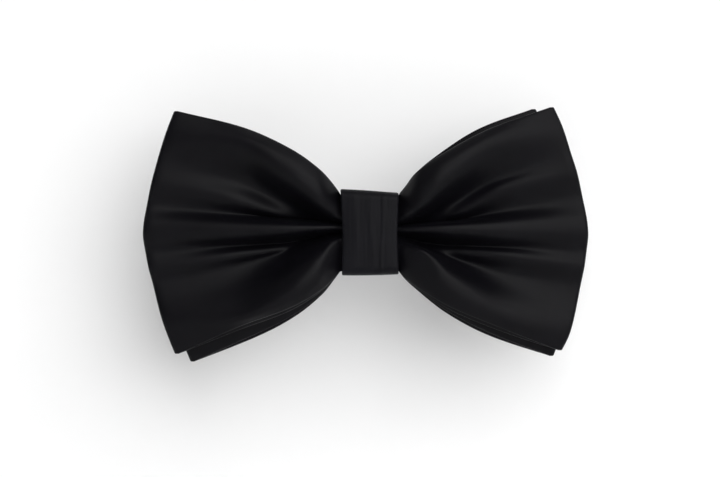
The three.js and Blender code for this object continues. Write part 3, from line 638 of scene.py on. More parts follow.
def place_group(tree, name, make, place):
    """A shared node group in a material, with the place that it reads on its first input."""
    node = tree.nodes.new("ShaderNodeGroup")
    node.node_tree = bpy.data.node_groups.get(name) or make(name)
    link(tree, place, node.inputs[0])
    return node.outputs


def plain_material(name, colour, roughness, metallic=0.0):
    material = bpy.data.materials.new(name)
    material.use_nodes = True
    tree = material.node_tree
    shader = tree.nodes["Principled BSDF"]
    shader.inputs["Base Color"].default_value = (*colour, 1)
    shader.inputs["Roughness"].default_value = roughness
    shader.inputs["Metallic"].default_value = metallic
    return material, tree, shader


def cloth_place(tree):
    """Places on the flat cloth, in millimetres."""
    node = tree.nodes.new("ShaderNodeUVMap")
    node.uv_map = "Cloth"
    return node.outputs[0]


def object_place(tree):
    return tree.nodes.new("ShaderNodeTexCoord").outputs["Object"]


def between(tree, factor, low, high):
    """A number that runs from `low` to `high` over the middle half of a factor's range."""
    node = node_of(tree, "ShaderNodeMapRange", From_Min=0.25, From_Max=0.75, To_Min=low, To_Max=high)
    link(tree, factor, node.inputs["Value"])
    return node.outputs[0]


def vary_colour(tree, shader, factor, first, second):
    """Base colour that runs from the first colour to the second as the factor runs from 0 to 1."""
    node = tree.nodes.new("ShaderNodeMix")
    node.data_type = "RGBA"
    node.inputs["A"].default_value = (*first, 1)
    node.inputs["B"].default_value = (*second, 1)
    link(tree, factor, node.inputs["Factor"])
    link(tree, node.outputs["Result"], shader.inputs["Base Color"])


def shaded(colour, share):
    return tuple(share * part for part in colour)


def add_bump(tree, shader, height, strength, distance):
    """Fine relief, with its depth in millimetres."""
    bump = node_of(tree, "ShaderNodeBump", Strength=strength, Distance=distance * MM)
    link(tree, height, bump.inputs["Height"])
    link(tree, bump.outputs[0], shader.inputs["Normal"])


def satin_material(name, colour, roughness, specular, sheen):
    """Black satin: a smooth warp face with a soft shine, a fine weave and uneven threads."""
    material, tree, shader = plain_material(name, colour, roughness)
    weave = place_group(tree, "Satin Weave", weave_group, cloth_place(tree))
    vary_colour(tree, shader, weave["Shade"], shaded(colour, 0.6), shaded(colour, 1.45))
    dullness = between(tree, weave["Slub"], roughness - 0.05, roughness + 0.07)
    link(tree, dullness, shader.inputs["Roughness"])
    height = maths(tree, "ADD", maths(tree, "MULTIPLY", weave["Height"], 0.25), weave["Slub"])
    add_bump(tree, shader, height, 0.35, 0.03)
    shader.inputs["Specular IOR Level"].default_value = specular
    shader.inputs["Sheen Weight"].default_value = sheen
    shader.inputs["Sheen Roughness"].default_value = 0.4
    shader.inputs["Sheen Tint"].default_value = (0.75, 0.8, 1.0, 1)
    return material


def interlining_material(name, colour):
    """Brushed charcoal interlining: matted fibres."""
    material, tree, shader = plain_material(name, colour, 0.95)
    fibres = noise(tree, cloth_place(tree), Scale=4.0, Detail=6.0, Roughness=0.75)
    vary_colour(tree, shader, fibres, shaded(colour, 0.82), colour)
    add_bump(tree, shader, fibres, 0.6, 0.1)
    return material


def thread_material(name, colour):
    """Black polyester sewing thread with fine filaments along its plies."""
    material, tree, shader = plain_material(name, colour, 0.5)
    along = stretched(tree, cloth_place(tree), (1.2, 6.0, 1.0))
    filaments = noise(tree, along, Scale=2.0, Detail=4.0)
    vary_colour(tree, shader, filaments, shaded(colour, 0.5), shaded(colour, 2.0))
    add_bump(tree, shader, filaments, 0.4, 0.05)
    shader.inputs["Sheen Weight"].default_value = 0.2
    return material


def metal_material(name, colour, roughness):
    """Plated steel with fine scratches and slightly dulled patches."""
    material, tree, shader = plain_material(name, colour, roughness, 1.0)
    wear = place_group(tree, "Metal Wear", wear_group, object_place(tree))
    vary_colour(tree, shader, wear["Patches"], shaded(colour, 0.92), colour)
    dullness = between(tree, wear["Patches"], roughness + 0.06, roughness - 0.04)
    link(tree, dullness, shader.inputs["Roughness"])
    add_bump(tree, shader, wear["Scratches"], 0.04, 0.02)
    return material


def plastic_material(name, colour):
    """Soft moulded plastic with a fine spark-eroded grain and a little dust."""
    material, tree, shader = plain_material(name, colour, 0.55)
    place = object_place(tree)
    grain = noise(tree, place, Scale=5200.0, Detail=2.0)
    dust = noise(tree, place, Scale=700.0, Detail=3.0)
    vary_colour(tree, shader, dust, colour, shaded(colour, 1.8))
    link(tree, between(tree, dust, 0.48, 0.66), shader.inputs["Roughness"])
    add_bump(tree, shader, grain, 0.35, 0.04)
    return material


def backdrop_material(name, colour):
    """White paper, clear from behind."""
    material, tree, shader = plain_material(name, colour, 0.9)
    grain = noise(tree, object_place(tree), Scale=30.0, Detail=2.0)
    vary_colour(tree, shader, grain, (0.91, 0.91, 0.91), (0.93, 0.93, 0.93))
    clear = tree.nodes.new("ShaderNodeBsdfTransparent")
    mixer = tree.nodes.new("ShaderNodeMixShader")
    facing = tree.nodes.new("ShaderNodeNewGeometry")
    link(tree, facing.outputs["Backfacing"], mixer.inputs[0])
    link(tree, shader.outputs[0], mixer.inputs[1])
    link(tree, clear.outputs[0], mixer.inputs[2])
    link(tree, mixer.outputs[0], tree.nodes["Material Output"].inputs["Surface"])
    return material


def finish_of(setting, name, make, *values):
    """The material of one colour setting, made when it is first asked for."""
    colour = tuple(getattr(bpy.context.scene.bow_tie_finish, setting))
    return bpy.data.materials.get(name) or make(name, colour, *values)


def bow_satin():
    roughness = bpy.context.scene.bow_tie_finish.satin_roughness
    return finish_of("satin", "Black Satin", satin_material, roughness, BOW_SPECULAR, BOW_SHEEN)


def knot_satin():
    roughness = bpy.context.scene.bow_tie_finish.knot_roughness
    return finish_of("knot_satin", "Knot Satin", satin_material, roughness, KNOT_SPECULAR, KNOT_SHEEN)


def interlining():
    return finish_of("interlining", "Interlining", interlining_material)


def thread():
    return finish_of("thread", "Sewing Thread", thread_material)


def plated_steel():
    return finish_of("plated_steel", "Plated Steel", metal_material, PLATING_ROUGHNESS)


def spring_steel():
    return finish_of("spring_steel", "Spring Steel", metal_material, WIRE_ROUGHNESS)


def grip_plastic():
    return finish_of("grip_plastic", "Grip Plastic", plastic_material)


# ---- Modelling by hand ---------------------------------------------------------------------------
def clear_selection():
    if bpy.context.object and bpy.context.object.mode != "OBJECT":
        bpy.ops.object.mode_set(mode="OBJECT")
    bpy.ops.object.select_all(action="DESELECT")


def make_active(piece):
    clear_selection()
    piece.select_set(True)
    bpy.context.view_layer.objects.active = piece


def settled(name):
    """The new primitive, named, with its place and size put into its mesh."""
    piece = bpy.context.object
    bpy.ops.object.transform_apply(location=True, rotation=True, scale=True)
    piece.name = name
    return piece


def box_piece(name, low, high):
    clear_selection()
    low, high = Vector(low) * MM, Vector(high) * MM
    bpy.ops.mesh.primitive_cube_add(size=1, location=(low + high) / 2, scale=high - low)
    return settled(name)


def round_piece(name, radius, low, high, centre=(0, 0), sides=32, axis="Z"):
    """A cylinder from `low` to `high` along Z or Y, with its centre in the other two directions."""
    clear_selection()
    middle = (low + high) / 2
    if axis == "Z":
        place, turn = (centre[0], centre[1], middle), (0, 0, 0)
    else:
        place, turn = (centre[0], middle, centre[1]), (math.pi / 2, 0, 0)
    bpy.ops.mesh.primitive_cylinder_add(
        vertices=sides,
        radius=radius * MM,
        depth=(high - low) * MM,
        location=Vector(place) * MM,
        rotation=turn,
    )
    return settled(name)


def slice_piece(piece, axis, places):
    """Cuts all round the piece at each place along an axis."""
    make_active(piece)
    bpy.ops.object.mode_set(mode="EDIT")
    normal = [0, 0, 0]
    normal["XYZ".index(axis)] = 1
    for place in places:
        bpy.ops.mesh.select_all(action="SELECT")
        bpy.ops.mesh.bisect(plane_co=[n * place * MM for n in normal], plane_no=normal)
    bpy.ops.object.mode_set(mode="OBJECT")


def reshape(piece, rule):
    """Moves each point of the piece to where the rule puts it, in millimetres."""
    for vertex in piece.data.vertices:
        vertex.co = Vector(rule(*(vertex.co / MM))) * MM


def edit_nothing_selected(piece, kind):
    """Puts the piece in object mode with none of its faces or edges selected."""
    make_active(piece)
    bpy.ops.object.mode_set(mode="EDIT")
    bpy.ops.mesh.select_mode(type=kind)
    bpy.ops.mesh.select_all(action="DESELECT")
    bpy.ops.object.mode_set(mode="OBJECT")


def select_faces(piece, test):
    """Edit mode with only the faces whose middle and normal pass the test selected."""
    edit_nothing_selected(piece, "FACE")
    for polygon in piece.data.polygons:
        polygon.select = bool(test(polygon.center / MM, polygon.normal))
    bpy.ops.object.mode_set(mode="EDIT")


def select_edges(piece, test):
    """Edit mode with only the edges whose two ends pass the test selected."""
    edit_nothing_selected(piece, "EDGE")
    points = piece.data.vertices
    for edge in piece.data.edges:
        edge.select = all(test(points[i].co / MM) for i in edge.vertices)
    bpy.ops.object.mode_set(mode="EDIT")


def extrude(x=0.0, y=0.0, z=0.0):
    """Draws the selected faces or edges out, by millimetres."""
    bpy.ops.mesh.extrude_region_move(TRANSFORM_OT_translate={"value": (x * MM, y * MM, z * MM)})


def combine(piece, other, operation):
    """Joins another piece to this one, or cuts this one with it. The other one is used up."""
    make_active(piece)
    modifier = piece.modifiers.new("combine", "BOOLEAN")
    modifier.operation = operation
    modifier.object = other
    modifier.solver = "EXACT"
    bpy.ops.object.modifier_apply(modifier=modifier.name)
    bpy.data.objects.remove(other)


def soften(piece, width, segments=2, angle=35):
    """Rounds the sharp edges and shades the piece smooth between them."""
    make_active(piece)
    modifier = piece.modifiers.new("soften", "BEVEL")
    modifier.width = width * MM
    modifier.segments = segments
    modifier.limit_method = "ANGLE"
    modifier.angle_limit = math.radians(angle)
    bpy.ops.object.modifier_apply(modifier=modifier.name)
    bpy.ops.object.shade_smooth_by_angle(angle=math.radians(40))
    clear_selection()


def put_at_clip(piece, name):
    """Moves a piece drawn about the pin, with its arm outwards, to its place on one side."""
    turn = Matrix.Rotation(math.pi if name == "left" else 0, 4, "Y")
    piece.data.transform(Matrix.Translation(PIVOTS[f"{name}_jaw_lever"] * MM) @ turn)
    piece.data.update()


# ---- Settings ------------------------------------------------------------------------------------
class BowTieSizes(bpy.types.PropertyGroup):
    satin_wall: bpy.props.FloatProperty(
        name="Satin",
        description="Thickness of one layer of satin",
        default=0.22 * MM,
        min=0,
        unit="LENGTH",
        precision=5,
    )
    interlining: bpy.props.FloatProperty(
        name="Interlining",
        description="Thickness of the stiffening strip",
        default=0.4 * MM,
        min=0,
        unit="LENGTH",
        precision=5,
    )
    knot_crown: bpy.props.FloatProperty(
        name="Knot crown",
        description="How far the knot's front bulges",
        default=0.5 * MM,
        unit="LENGTH",
        precision=5,
    )
    wire: bpy.props.FloatProperty(
        name="Spring wire",
        description="Diameter of the jaw springs' wire",
        default=0.45 * MM,
        unit="LENGTH",
        precision=5,
    )
    edge_round: bpy.props.FloatProperty(
        name="Edge rounding",
        description="Rounding of the pressed metal's edges",
        default=0.1 * MM,
        unit="LENGTH",
        precision=5,
    )


def colour_setting(name, description, default):
    return bpy.props.FloatVectorProperty(
        name=name, description=description, default=default, size=3, min=0, max=1, subtype="COLOR"
    )


def share_setting(name, description, default):
    return bpy.props.FloatProperty(
        name=name, description=description, default=default, min=0, max=1, subtype="FACTOR"
    )


class BowTieFinish(bpy.types.PropertyGroup):
    satin: colour_setting("Satin", "Colour of the bows' satin", (0.0025, 0.0023, 0.0034))
    knot_satin: colour_setting("Knot satin", "Colour of the knot's satin", (0.0040, 0.0039, 0.0054))
    interlining: colour_setting("Interlining", "Colour of the stiffening", (0.03, 0.03, 0.032))
    thread: colour_setting("Thread", "Colour of the sewing thread", (0.012, 0.012, 0.013))
    plated_steel: colour_setting("Plated steel", "Colour of the nickel plating", (0.75, 0.75, 0.76))
    spring_steel: colour_setting("Spring steel", "Colour of the spring wire", (0.5, 0.5, 0.52))
    grip_plastic: colour_setting("Grip plastic", "Colour of the ribbed pads", (0.022, 0.022, 0.024))
    satin_roughness: share_setting("Satin roughness", "How dull the bows' shine is", 0.42)
    knot_roughness: share_setting("Knot roughness", "How dull the knot's shine is", 0.44)


class BowTieStage(bpy.types.PropertyGroup):
    backdrop_distance: bpy.props.FloatProperty(
        name="Backdrop distance",
        description="From the knot's back to the backdrop",
        default=23 * MM,
        unit="LENGTH",
        precision=4,
    )
    floor_height: bpy.props.FloatProperty(
        name="Floor height", description="Height of the floor", default=-0.13, unit="LENGTH", precision=4
    )
    view_width: bpy.props.FloatProperty(
        name="View width",
        description="Width that the camera takes in at the bow",
        default=0.2023,
        unit="LENGTH",
        precision=4,
    )
    camera_distance: bpy.props.FloatProperty(
        name="Camera distance",
        description="From the camera to the bow's front",
        default=0.75,
        unit="LENGTH",
    )
    key_power: bpy.props.FloatProperty(
        name="Key light", description="Power of the softbox", default=25.2, unit="POWER"
    )
    world_strength: bpy.props.FloatProperty(
        name="Surroundings", description="Brightness of the white surroundings", default=0.21, min=0
    )


END_STITCH = 0.32
SEAM_STITCH = 0.38
TACK_THREAD = 0.42
GATHER_THREAD = 0.6
GATHER_TURNS = 3
GATHER_PITCH = 0.9
GATHER_STEPS = 72
BAND_HALF = 0.4
BAND_WALL = 0.3
LINING_HALF = 0.25


class BOWTIE_OT_bows(bpy.types.Operator):
    """Sew the two satin bows, each a long sleeve with its stiffening strip and closing stitches"""

    bl_idname = "bow_tie.bows"
    bl_label = "Bows"

    def execute(self, context):
        sizes = context.scene.bow_tie_sizes
        wall = sizes.satin_wall / MM
        strip_half = sizes.interlining / MM / 2
        for bow in BOWS:
            middle = bow_middle(bow)
            out = np.abs(middle[:, ACROSS_STEPS // 2, 0])
            opening = np.clip((out - PINCH_START) / PINCH_LENGTH, 0, 1)
            half = PINCHED_HALF + (SLEEVE_HALF - PINCHED_HALF) * opening
            sleeve = cloth_mesh(f"{bow.name}_satin_sleeve", middle, half, wall=0.9 * wall)
            finish_piece(sleeve, bow_satin(), "bow", f"{bow.name}_satin")
            strip_half_here = np.minimum(strip_half, half[2:-2] - wall)
            strip = cloth_mesh(f"{bow.name}_stiffening", middle[2:-2], strip_half_here)
            finish_piece(strip, interlining(), "bow", f"{bow.name}_interlining")
            self.end_stitch(bow, middle)
        return {"FINISHED"}

    def end_stitch(self, bow, middle):
        """The zigzag of thread that joins the strip's two ends behind the middle."""
        low, high = box_mm(f"{bow.name}_end_stitch")
        column = (middle[0] + middle[-1]) / 2
        heights = np.linspace(low.z + 0.2, high.z - 0.2, 13)
        order = np.argsort(column[:, 2])
        depths = np.interp(heights, column[order, 2], column[order, 1])
        route = rounded_route(zigzag(0, 0.28, depths, heights), 120)
        stitch = thread_mesh(f"{bow.name}_closing_stitch", route, END_STITCH)
        finish_piece(stitch, thread(), "bow", f"{bow.name}_end_stitch")


class BOWTIE_OT_gather_thread(bpy.types.Operator):
    """Wind the thread that gathers both bows under the knot"""

    bl_idname = "bow_tie.gather_thread"
    bl_label = "Gathering Thread"

    def execute(self, context):
        low, high = box_mm("gather_thread")
        half = GATHER_THREAD / 2
        loop = rounded_loop(low.y + half, high.y - half, high.z - half, 0.9, GATHER_STEPS)
        steps = GATHER_TURNS * GATHER_STEPS
        points = []
        for i in range(steps + 1):
            y, z = loop[i % GATHER_STEPS]
            points.append(((i / steps - 0.5) * GATHER_TURNS * GATHER_PITCH, y, z))
        piece = thread_mesh("gathering_thread", points, GATHER_THREAD, twist=2.5)
        finish_piece(piece, thread(), "bow", "gather_thread")
        return {"FINISHED"}


class BOWTIE_OT_knot(bpy.types.Operator):
    """Wrap the knot's satin band and its lining round the gathered bows"""

    bl_idname = "bow_tie.knot"
    bl_label = "Knot"

    def execute(self, context):
        self.wrap_band(context.scene.bow_tie_sizes.knot_crown / MM)
        self.wrap_lining()
        self.sew_seam()
        return {"FINISHED"}

    def wrap_band(self, crown):
        back, front = KNOT_HIGH.y - BAND_HALF, KNOT_LOW.y + BAND_HALF
        tall = KNOT_HIGH.z - BAND_HALF
        wide = KNOT_HIGH.x - BAND_HALF
        loop = rounded_loop(front, back, tall, 1.9, 260)
        across = np.linspace(-1, 1, 61)
        middle = np.zeros((len(loop), len(across), 3))
        for i, (y, z) in enumerate(loop):
            level = z / tall
            round_front = np.clip((back - y) / (back - front), 0, 1) ** 2
            waist = 1 - 0.03 * math.cos(2.2 * level)
            left_lean = 0.2 * (1 - level) * (across < 0) * -across
            x = wide * across * waist + left_lean
            crease = wrinkles(x, level) * round_front
            bulge = crown * (1 - across**2) * (0.4 + 0.6 * (1 - level**2)) * round_front
            tilt = (-0.075 if level > 0 else 0.02) * x * abs(level) ** 3
            past_corner = np.sign(level) * max(abs(level) - 0.9, 0) * 10
            middle[i, :, 0] = x
            middle[i, :, 1] = y - bulge - crease + seam_dip(x, y, level, back)
            middle[i, :, 2] = z + tilt * round_front**0.25 + 0.12 * past_corner * (1 - across**2)
        band = cloth_mesh("knot_band", middle[::-1], BAND_HALF, wall=BAND_WALL, closed=True)
        finish_piece(band, knot_satin(), "bow", "knot_satin")

    def wrap_lining(self):
        low, high = box_mm("knot_interlining")
        half = LINING_HALF
        loop = rounded_loop(low.y + half, high.y - half, high.z - half, 1.5, 120)
        across = np.linspace(low.x + half, high.x - half, 20)
        middle = np.zeros((len(loop), len(across), 3))
        middle[:, :, 0] = across[None, :]
        middle[:, :, 1:] = loop[:, None, :]
        lining = cloth_mesh("knot_lining", middle[::-1], half, closed=True)
        finish_piece(lining, interlining(), "bow", "knot_interlining")

    def sew_seam(self):
        low, high = box_mm("knot_closing_stitch")
        heights = np.linspace(low.z + 0.2, high.z - 0.2, 17)
        depths = [(low.y + high.y) / 2] * len(heights)
        swing = (high.x - low.x) / 2 - 0.2
        route = rounded_route(zigzag((low.x + high.x) / 2, swing, depths, heights), 200)
        stitch = thread_mesh("knot_seam_stitch", route, SEAM_STITCH)
        finish_piece(stitch, thread(), "bow", "knot_closing_stitch")


def wrinkles(x, level):
    """Fine upright wrinkles of the stretched band, and the line of its folded edge."""
    sway = 0.5 * np.sin(1.9 * level + 0.4 * x)
    broad = 0.05 * np.sin(1.15 * x + 1.5 * sway + 0.6)
    fine = 0.024 * np.sin(2.7 * x + 2.2 * sway) * (0.6 + 0.4 * math.cos(3 * level))
    finest = 0.011 * np.sin(5.7 * x - 3.0 * sway + 1)
    folded_edge = 0.17 * np.exp(-(((x - 3.6 - 0.3 * math.sin(2.4 * level)) / 0.5) ** 2))
    return broad + fine + finest + folded_edge


def seam_dip(x, y, level, back):
    """The groove on the back, where the band's folded edge laps over."""
    if abs(y - back) > 0.05:
        return np.zeros_like(x)
    return -0.75 * np.exp(-(((x - 4.0) / 0.62) ** 4)) * (abs(level) < 0.86)


class BOWTIE_OT_tacks(bpy.types.Operator):
    """Sew the plate's tongues down to the rear bow"""

    bl_idname = "bow_tie.tacks"
    bl_label = "Plate Tacks"

    def execute(self, context):
        for name in SIDES:
            low, high = box_mm(f"{name}_plate_tack")
            x = (low.x + high.x) / 2
            front, back = low.y + 0.1, high.y - TACK_THREAD / 2
            wide = high.z - TACK_THREAD / 2
            bend = (front + 2 * back) / 3
            half = [(x, back, wide - 0.5), (x, bend, wide + 0.02), (x, front, wide)]
            other_half = [(px, py, -pz) for px, py, pz in reversed(half)]
            points = [*other_half, (x + 0.05, back + 0.05, 0), *half]
            tack = thread_mesh(f"{name}_tongue_tack", rounded_route(points, 60), TACK_THREAD)
            finish_piece(tack, thread(), "bow", f"{name}_plate_tack")
        return {"FINISHED"}


# ---- Clip pieces ---------------------------------------------------------------------------------
# The two jaws, the plate's arms and the pins are drawn about a pin, with the arm outwards along +X.
STEEL = 0.8
PIN_RADIUS = 0.7
PIN_HOLE = 0.78
PIN_REACH = 5.8
PIN_HEAD = 0.5
EAR_RADIUS = 1.9
KNUCKLE_RADIUS = 1.7
TACK_HOLE = 0.6
TACK_HOLE_HEIGHT = 1.6

# The jaw's thumb tab and arm, its half width, and the heights of its bends.
TAB_END = -6.9
ARM_END = 13.9
LIP_END = ARM_END + STEEL
JAW_HALF = 4.4
JAW_BENDS = (
    (TAB_END, 3.0), (-3.9, 2.36), (-2.6, 2.3), (3.2, 2.3),
    (4.2, 2.15), (6.7, 0.65), (7.7, 0.5), (LIP_END, 0.5),
)
JAW_CUTS = (
    -5.5, -4.6, -3.9, -3.2, -2.6, 2.6, 3.2, 3.6, 4.2, 4.8, 5.5, 6.2, 6.7, 7.1, 7.7, 8.2, ARM_END
)
TAB_ROUND = 1.6
LIP_DROP = 1.1
TEETH = 5
TOOTH_TIPS = -2.0
TOOTH_ROOTS = -1.1


def pierced_lug(radius, low, depths, x=0.0):
    """A flat lug from the first depth to the second, rounded and drilled for the pin at one of them."""
    start, end, pin = depths
    lug = box_piece("lug", (x - radius, start, low), (x + radius, end, low + STEEL))
    combine(lug, round_piece("lug_end", radius, low, low + STEEL, (x, pin)), "UNION")
    combine(lug, round_piece("pin_hole", PIN_HOLE, low - 1, low + STEEL + 1, (x, pin)), "DIFFERENCE")
    return lug


class BOWTIE_OT_base_plate(bpy.types.Operator):
    """Press the clip's base plate with its waist, sewn-down tongues and pin ears"""

    bl_idname = "bow_tie.base_plate"
    bl_label = "Clip Base Plate"

    def execute(self, context):
        long, tall = PLATE_HIGH.x, PLATE_HIGH.z
        front, back = PLATE_LOW.y, PLATE_LOW.y + STEEL
        plate = box_piece("clip_plate", (-long, front, -tall), (long, back, tall))
        outline = self.outline(long, tall)
        places = [x for x, z in outline[1:-1]]
        slice_piece(plate, "X", [-x for x in places] + [0] + places)
        xs, zs = zip(*outline)
        reshape(plate, lambda x, y, z: (x, y, math.copysign(np.interp(abs(x), xs, zs), z)))
        pin = PIVOTS["right_jaw_lever"]
        for side in (LEFT, RIGHT):
            for low in (-tall, tall - STEEL):
                ear = pierced_lug(EAR_RADIUS, low, (front + 0.2, pin.y, pin.y), side * pin.x)
                combine(plate, ear, "UNION")
            for z in (-TACK_HOLE_HEIGHT, TACK_HOLE_HEIGHT):
                centre = (side * (long - 1.4), z)
                hole = round_piece("tack_hole", TACK_HOLE, front - 1, back + 1, centre, 24, "Y")
                combine(plate, hole, "DIFFERENCE")
        soften(plate, context.scene.bow_tie_sizes.edge_round / MM)
        finish_piece(plate, plated_steel(), "bow", "clip_base_plate")
        return {"FINISHED"}

    def outline(self, long, tall):
        """Half heights of the plate at distances out: its waist in the knot, its arm and its tongue."""
        waist_end, arm_start = KNOT_SIDE + 1, KNOT_SIDE + 3
        tongue = long - 3.8
        waist = [(0, 4.5), (waist_end, 4.5), (waist_end + 0.7, 4.75), (waist_end + 1.3, 5.25)]
        arm = [(arm_start, tall), (tongue - 1, tall), (tongue - 0.4, tall - 0.3), (tongue, tall - 1)]
        neck = [(tongue + 0.25, 3.2), (tongue + 0.7, 3)]
        tip = [(long - 1.2, 3), (long - 0.5, 2.6), (long - 0.15, 2.1), (long, 1.6)]
        return waist + arm + neck + tip


class BOWTIE_OT_jaws(bpy.types.Operator):
    """Bend the two spring-closed jaws, with knuckles at the pin and a toothed lip"""

    bl_idname = "bow_tie.jaws"
    bl_label = "Jaws"

    def execute(self, context):
        rounding = context.scene.bow_tie_sizes.edge_round / MM
        for name in SIDES:
            jaw = self.bent_plate(f"{name}_jaw_lever_plate")
            self.cut_teeth(jaw)
            self.round_tab(jaw)
            for low in (-JAW_HALF, JAW_HALF - STEEL):
                combine(jaw, pierced_lug(KNUCKLE_RADIUS, low, (0, 2.3, 0)), "UNION")
            soften(jaw, rounding)
            put_at_clip(jaw, name)
            finish_piece(jaw, plated_steel(), f"{name}_jaw_lever", f"{name}_jaw")
        return {"FINISHED"}

    def bent_plate(self, name):
        """The jaw's plate, bent along its length, with its lip turned down."""
        jaw = box_piece(name, (TAB_END, -STEEL / 2, -JAW_HALF), (LIP_END, STEEL / 2, JAW_HALF))
        slice_piece(jaw, "X", JAW_CUTS)
        rows = [*JAW_CUTS, TAB_END, LIP_END]
        xs, ys = zip(*JAW_BENDS)
        bent = dict(zip([round(x, 3) for x in rows], smooth_through(xs, ys, rows)))
        reshape(jaw, lambda x, y, z: (x, y + bent[round(x, 3)], z))
        select_faces(jaw, lambda centre, normal: normal.y < -0.5 and centre.x > ARM_END)
        extrude(y=-LIP_DROP)
        bpy.ops.object.mode_set(mode="OBJECT")
        return jaw

    def cut_teeth(self, jaw):
        """Draws the lip out into pointed teeth."""
        tooth = 2 * JAW_HALF / TEETH
        slice_piece(jaw, "Z", [-JAW_HALF + tooth * i / 2 for i in range(1, 2 * TEETH)])

        def toothed(x, y, z):
            if x < ARM_END - 0.01 or y > -0.9:
                return x, y, z
            place = (z + JAW_HALF) / tooth
            gap = abs(place - math.floor(place) - 0.5) * 2
            return x, TOOTH_TIPS + (TOOTH_ROOTS - TOOTH_TIPS) * gap, z

        reshape(jaw, toothed)

    def round_tab(self, jaw):
        """Rounds the two corners of the thumb tab."""
        select_edges(jaw, lambda p: abs(p.x - TAB_END) < 0.01 and abs(p.z) > JAW_HALF - 0.01)
        bpy.ops.mesh.bevel(offset=TAB_ROUND * MM, segments=5)
        bpy.ops.object.mode_set(mode="OBJECT")


class BOWTIE_OT_pins(bpy.types.Operator):
    """Turn the hinge pins with their riveted heads"""

    bl_idname = "bow_tie.pins"
    bl_label = "Hinge Pins"

    def execute(self, context):
        for name in SIDES:
            pin = round_piece(f"{name}_hinge_pin", PIN_RADIUS, -PIN_REACH, PIN_REACH, sides=36)
            for end in (-1, 1):
                self.rivet(pin, end)
            soften(pin, 0.08, 2, 30)
            put_at_clip(pin, name)
            finish_piece(pin, plated_steel(), "bow", f"{name}_clip_pin")
        return {"FINISHED"}

    def rivet(self, pin, end):
        """Spreads one end of the pin into a head with a domed top."""
        select_faces(pin, lambda centre, normal: normal.z * end > 0.9 and centre.z * end > PIN_REACH - 0.05)
        extrude()
        grow = (PIN_RADIUS + PIN_HEAD) / PIN_RADIUS
        bpy.ops.transform.resize(value=(grow, grow, 1), center_override=(0, 0, end * PIN_REACH * MM))
        extrude(z=end * 0.3)
        extrude(z=end * 0.2)
        top = end * (PIN_REACH + PIN_HEAD) * MM
        bpy.ops.transform.resize(value=(0.7, 0.7, 1), center_override=(0, 0, top))
        bpy.ops.object.mode_set(mode="OBJECT")


# The spring's coil about the pin, and how far its legs run towards the thumb tab. One leg lies on
# the plate and the other under the tab.
COIL_RADIUS = 1.25
COIL_TURNS = 3.5
COIL_PITCH = 0.68
COIL_STEPS = 36
LEG_LENGTH = 4.9
LEG_STEPS = 4
PLATE_LEG_DEPTH = -2.275
TAB_LEG_DEPTH = 2.1


class BOWTIE_OT_springs(bpy.types.Operator):
    """Wind the jaw springs round their pins, one leg on the plate and one under the thumb tab"""

    bl_idname = "bow_tie.springs"
    bl_label = "Jaw Springs"

    def execute(self, context):
        wire = context.scene.bow_tie_sizes.wire / MM
        for name, side in SIDES.items():
            spring = self.wound_spring(f"{name}_jaw_spring", wire)
            put_at_clip(spring, name)
            finish_piece(spring, spring_steel(), None, f"{name}_clip_spring")
            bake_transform(spring)
        return {"FINISHED"}

    def wound_spring(self, name, wire):
        half_span = COIL_TURNS * COIL_PITCH / 2
        clear_selection()
        bpy.ops.mesh.primitive_circle_add(
            vertices=14,
            radius=wire / 2 * MM,
            fill_type="NOTHING",
            location=(0, -COIL_RADIUS * MM, -half_span * MM),
            rotation=(0, math.pi / 2, 0),
        )
        spring = settled(name)
        screw = spring.modifiers.new("wind", "SCREW")
        screw.axis = "Z"
        screw.angle = COIL_TURNS * 2 * math.pi
        screw.screw_offset = COIL_TURNS * COIL_PITCH * MM
        screw.steps = int(COIL_TURNS * COIL_STEPS)
        screw.render_steps = screw.steps
        screw.use_merge_vertices = False
        bpy.ops.object.modifier_apply(modifier=screw.name)
        self.add_leg(spring, -half_span, PLATE_LEG_DEPTH + COIL_RADIUS, wire)
        self.add_leg(spring, half_span, TAB_LEG_DEPTH - COIL_RADIUS, wire)
        make_active(spring)
        bpy.ops.object.mode_set(mode="EDIT")
        bpy.ops.mesh.select_all(action="SELECT")
        bpy.ops.mesh.remove_doubles(threshold=1e-7)
        bpy.ops.mesh.normals_make_consistent(inside=False)
        bpy.ops.object.mode_set(mode="OBJECT")
        bpy.ops.object.shade_smooth_by_angle(angle=math.radians(50))
        return spring

    def add_leg(self, spring, height, rise, wire):
        """Draws the coil's open end at a height out into a straight leg, and closes it."""
        select_edges(spring, lambda p: abs(p.x) < 0.02 and abs(p.z - height) < wire)
        for _ in range(LEG_STEPS):
            extrude(-LEG_LENGTH / LEG_STEPS, rise / LEG_STEPS)
        bpy.ops.mesh.edge_face_add()
        bpy.ops.object.mode_set(mode="OBJECT")


PAD_RIDGES = 4
RIDGE_STEPS = 8
RIDGE_DEPTH = 0.25
PAD_MARGIN = 0.35
PAD_END_DROP = 0.12


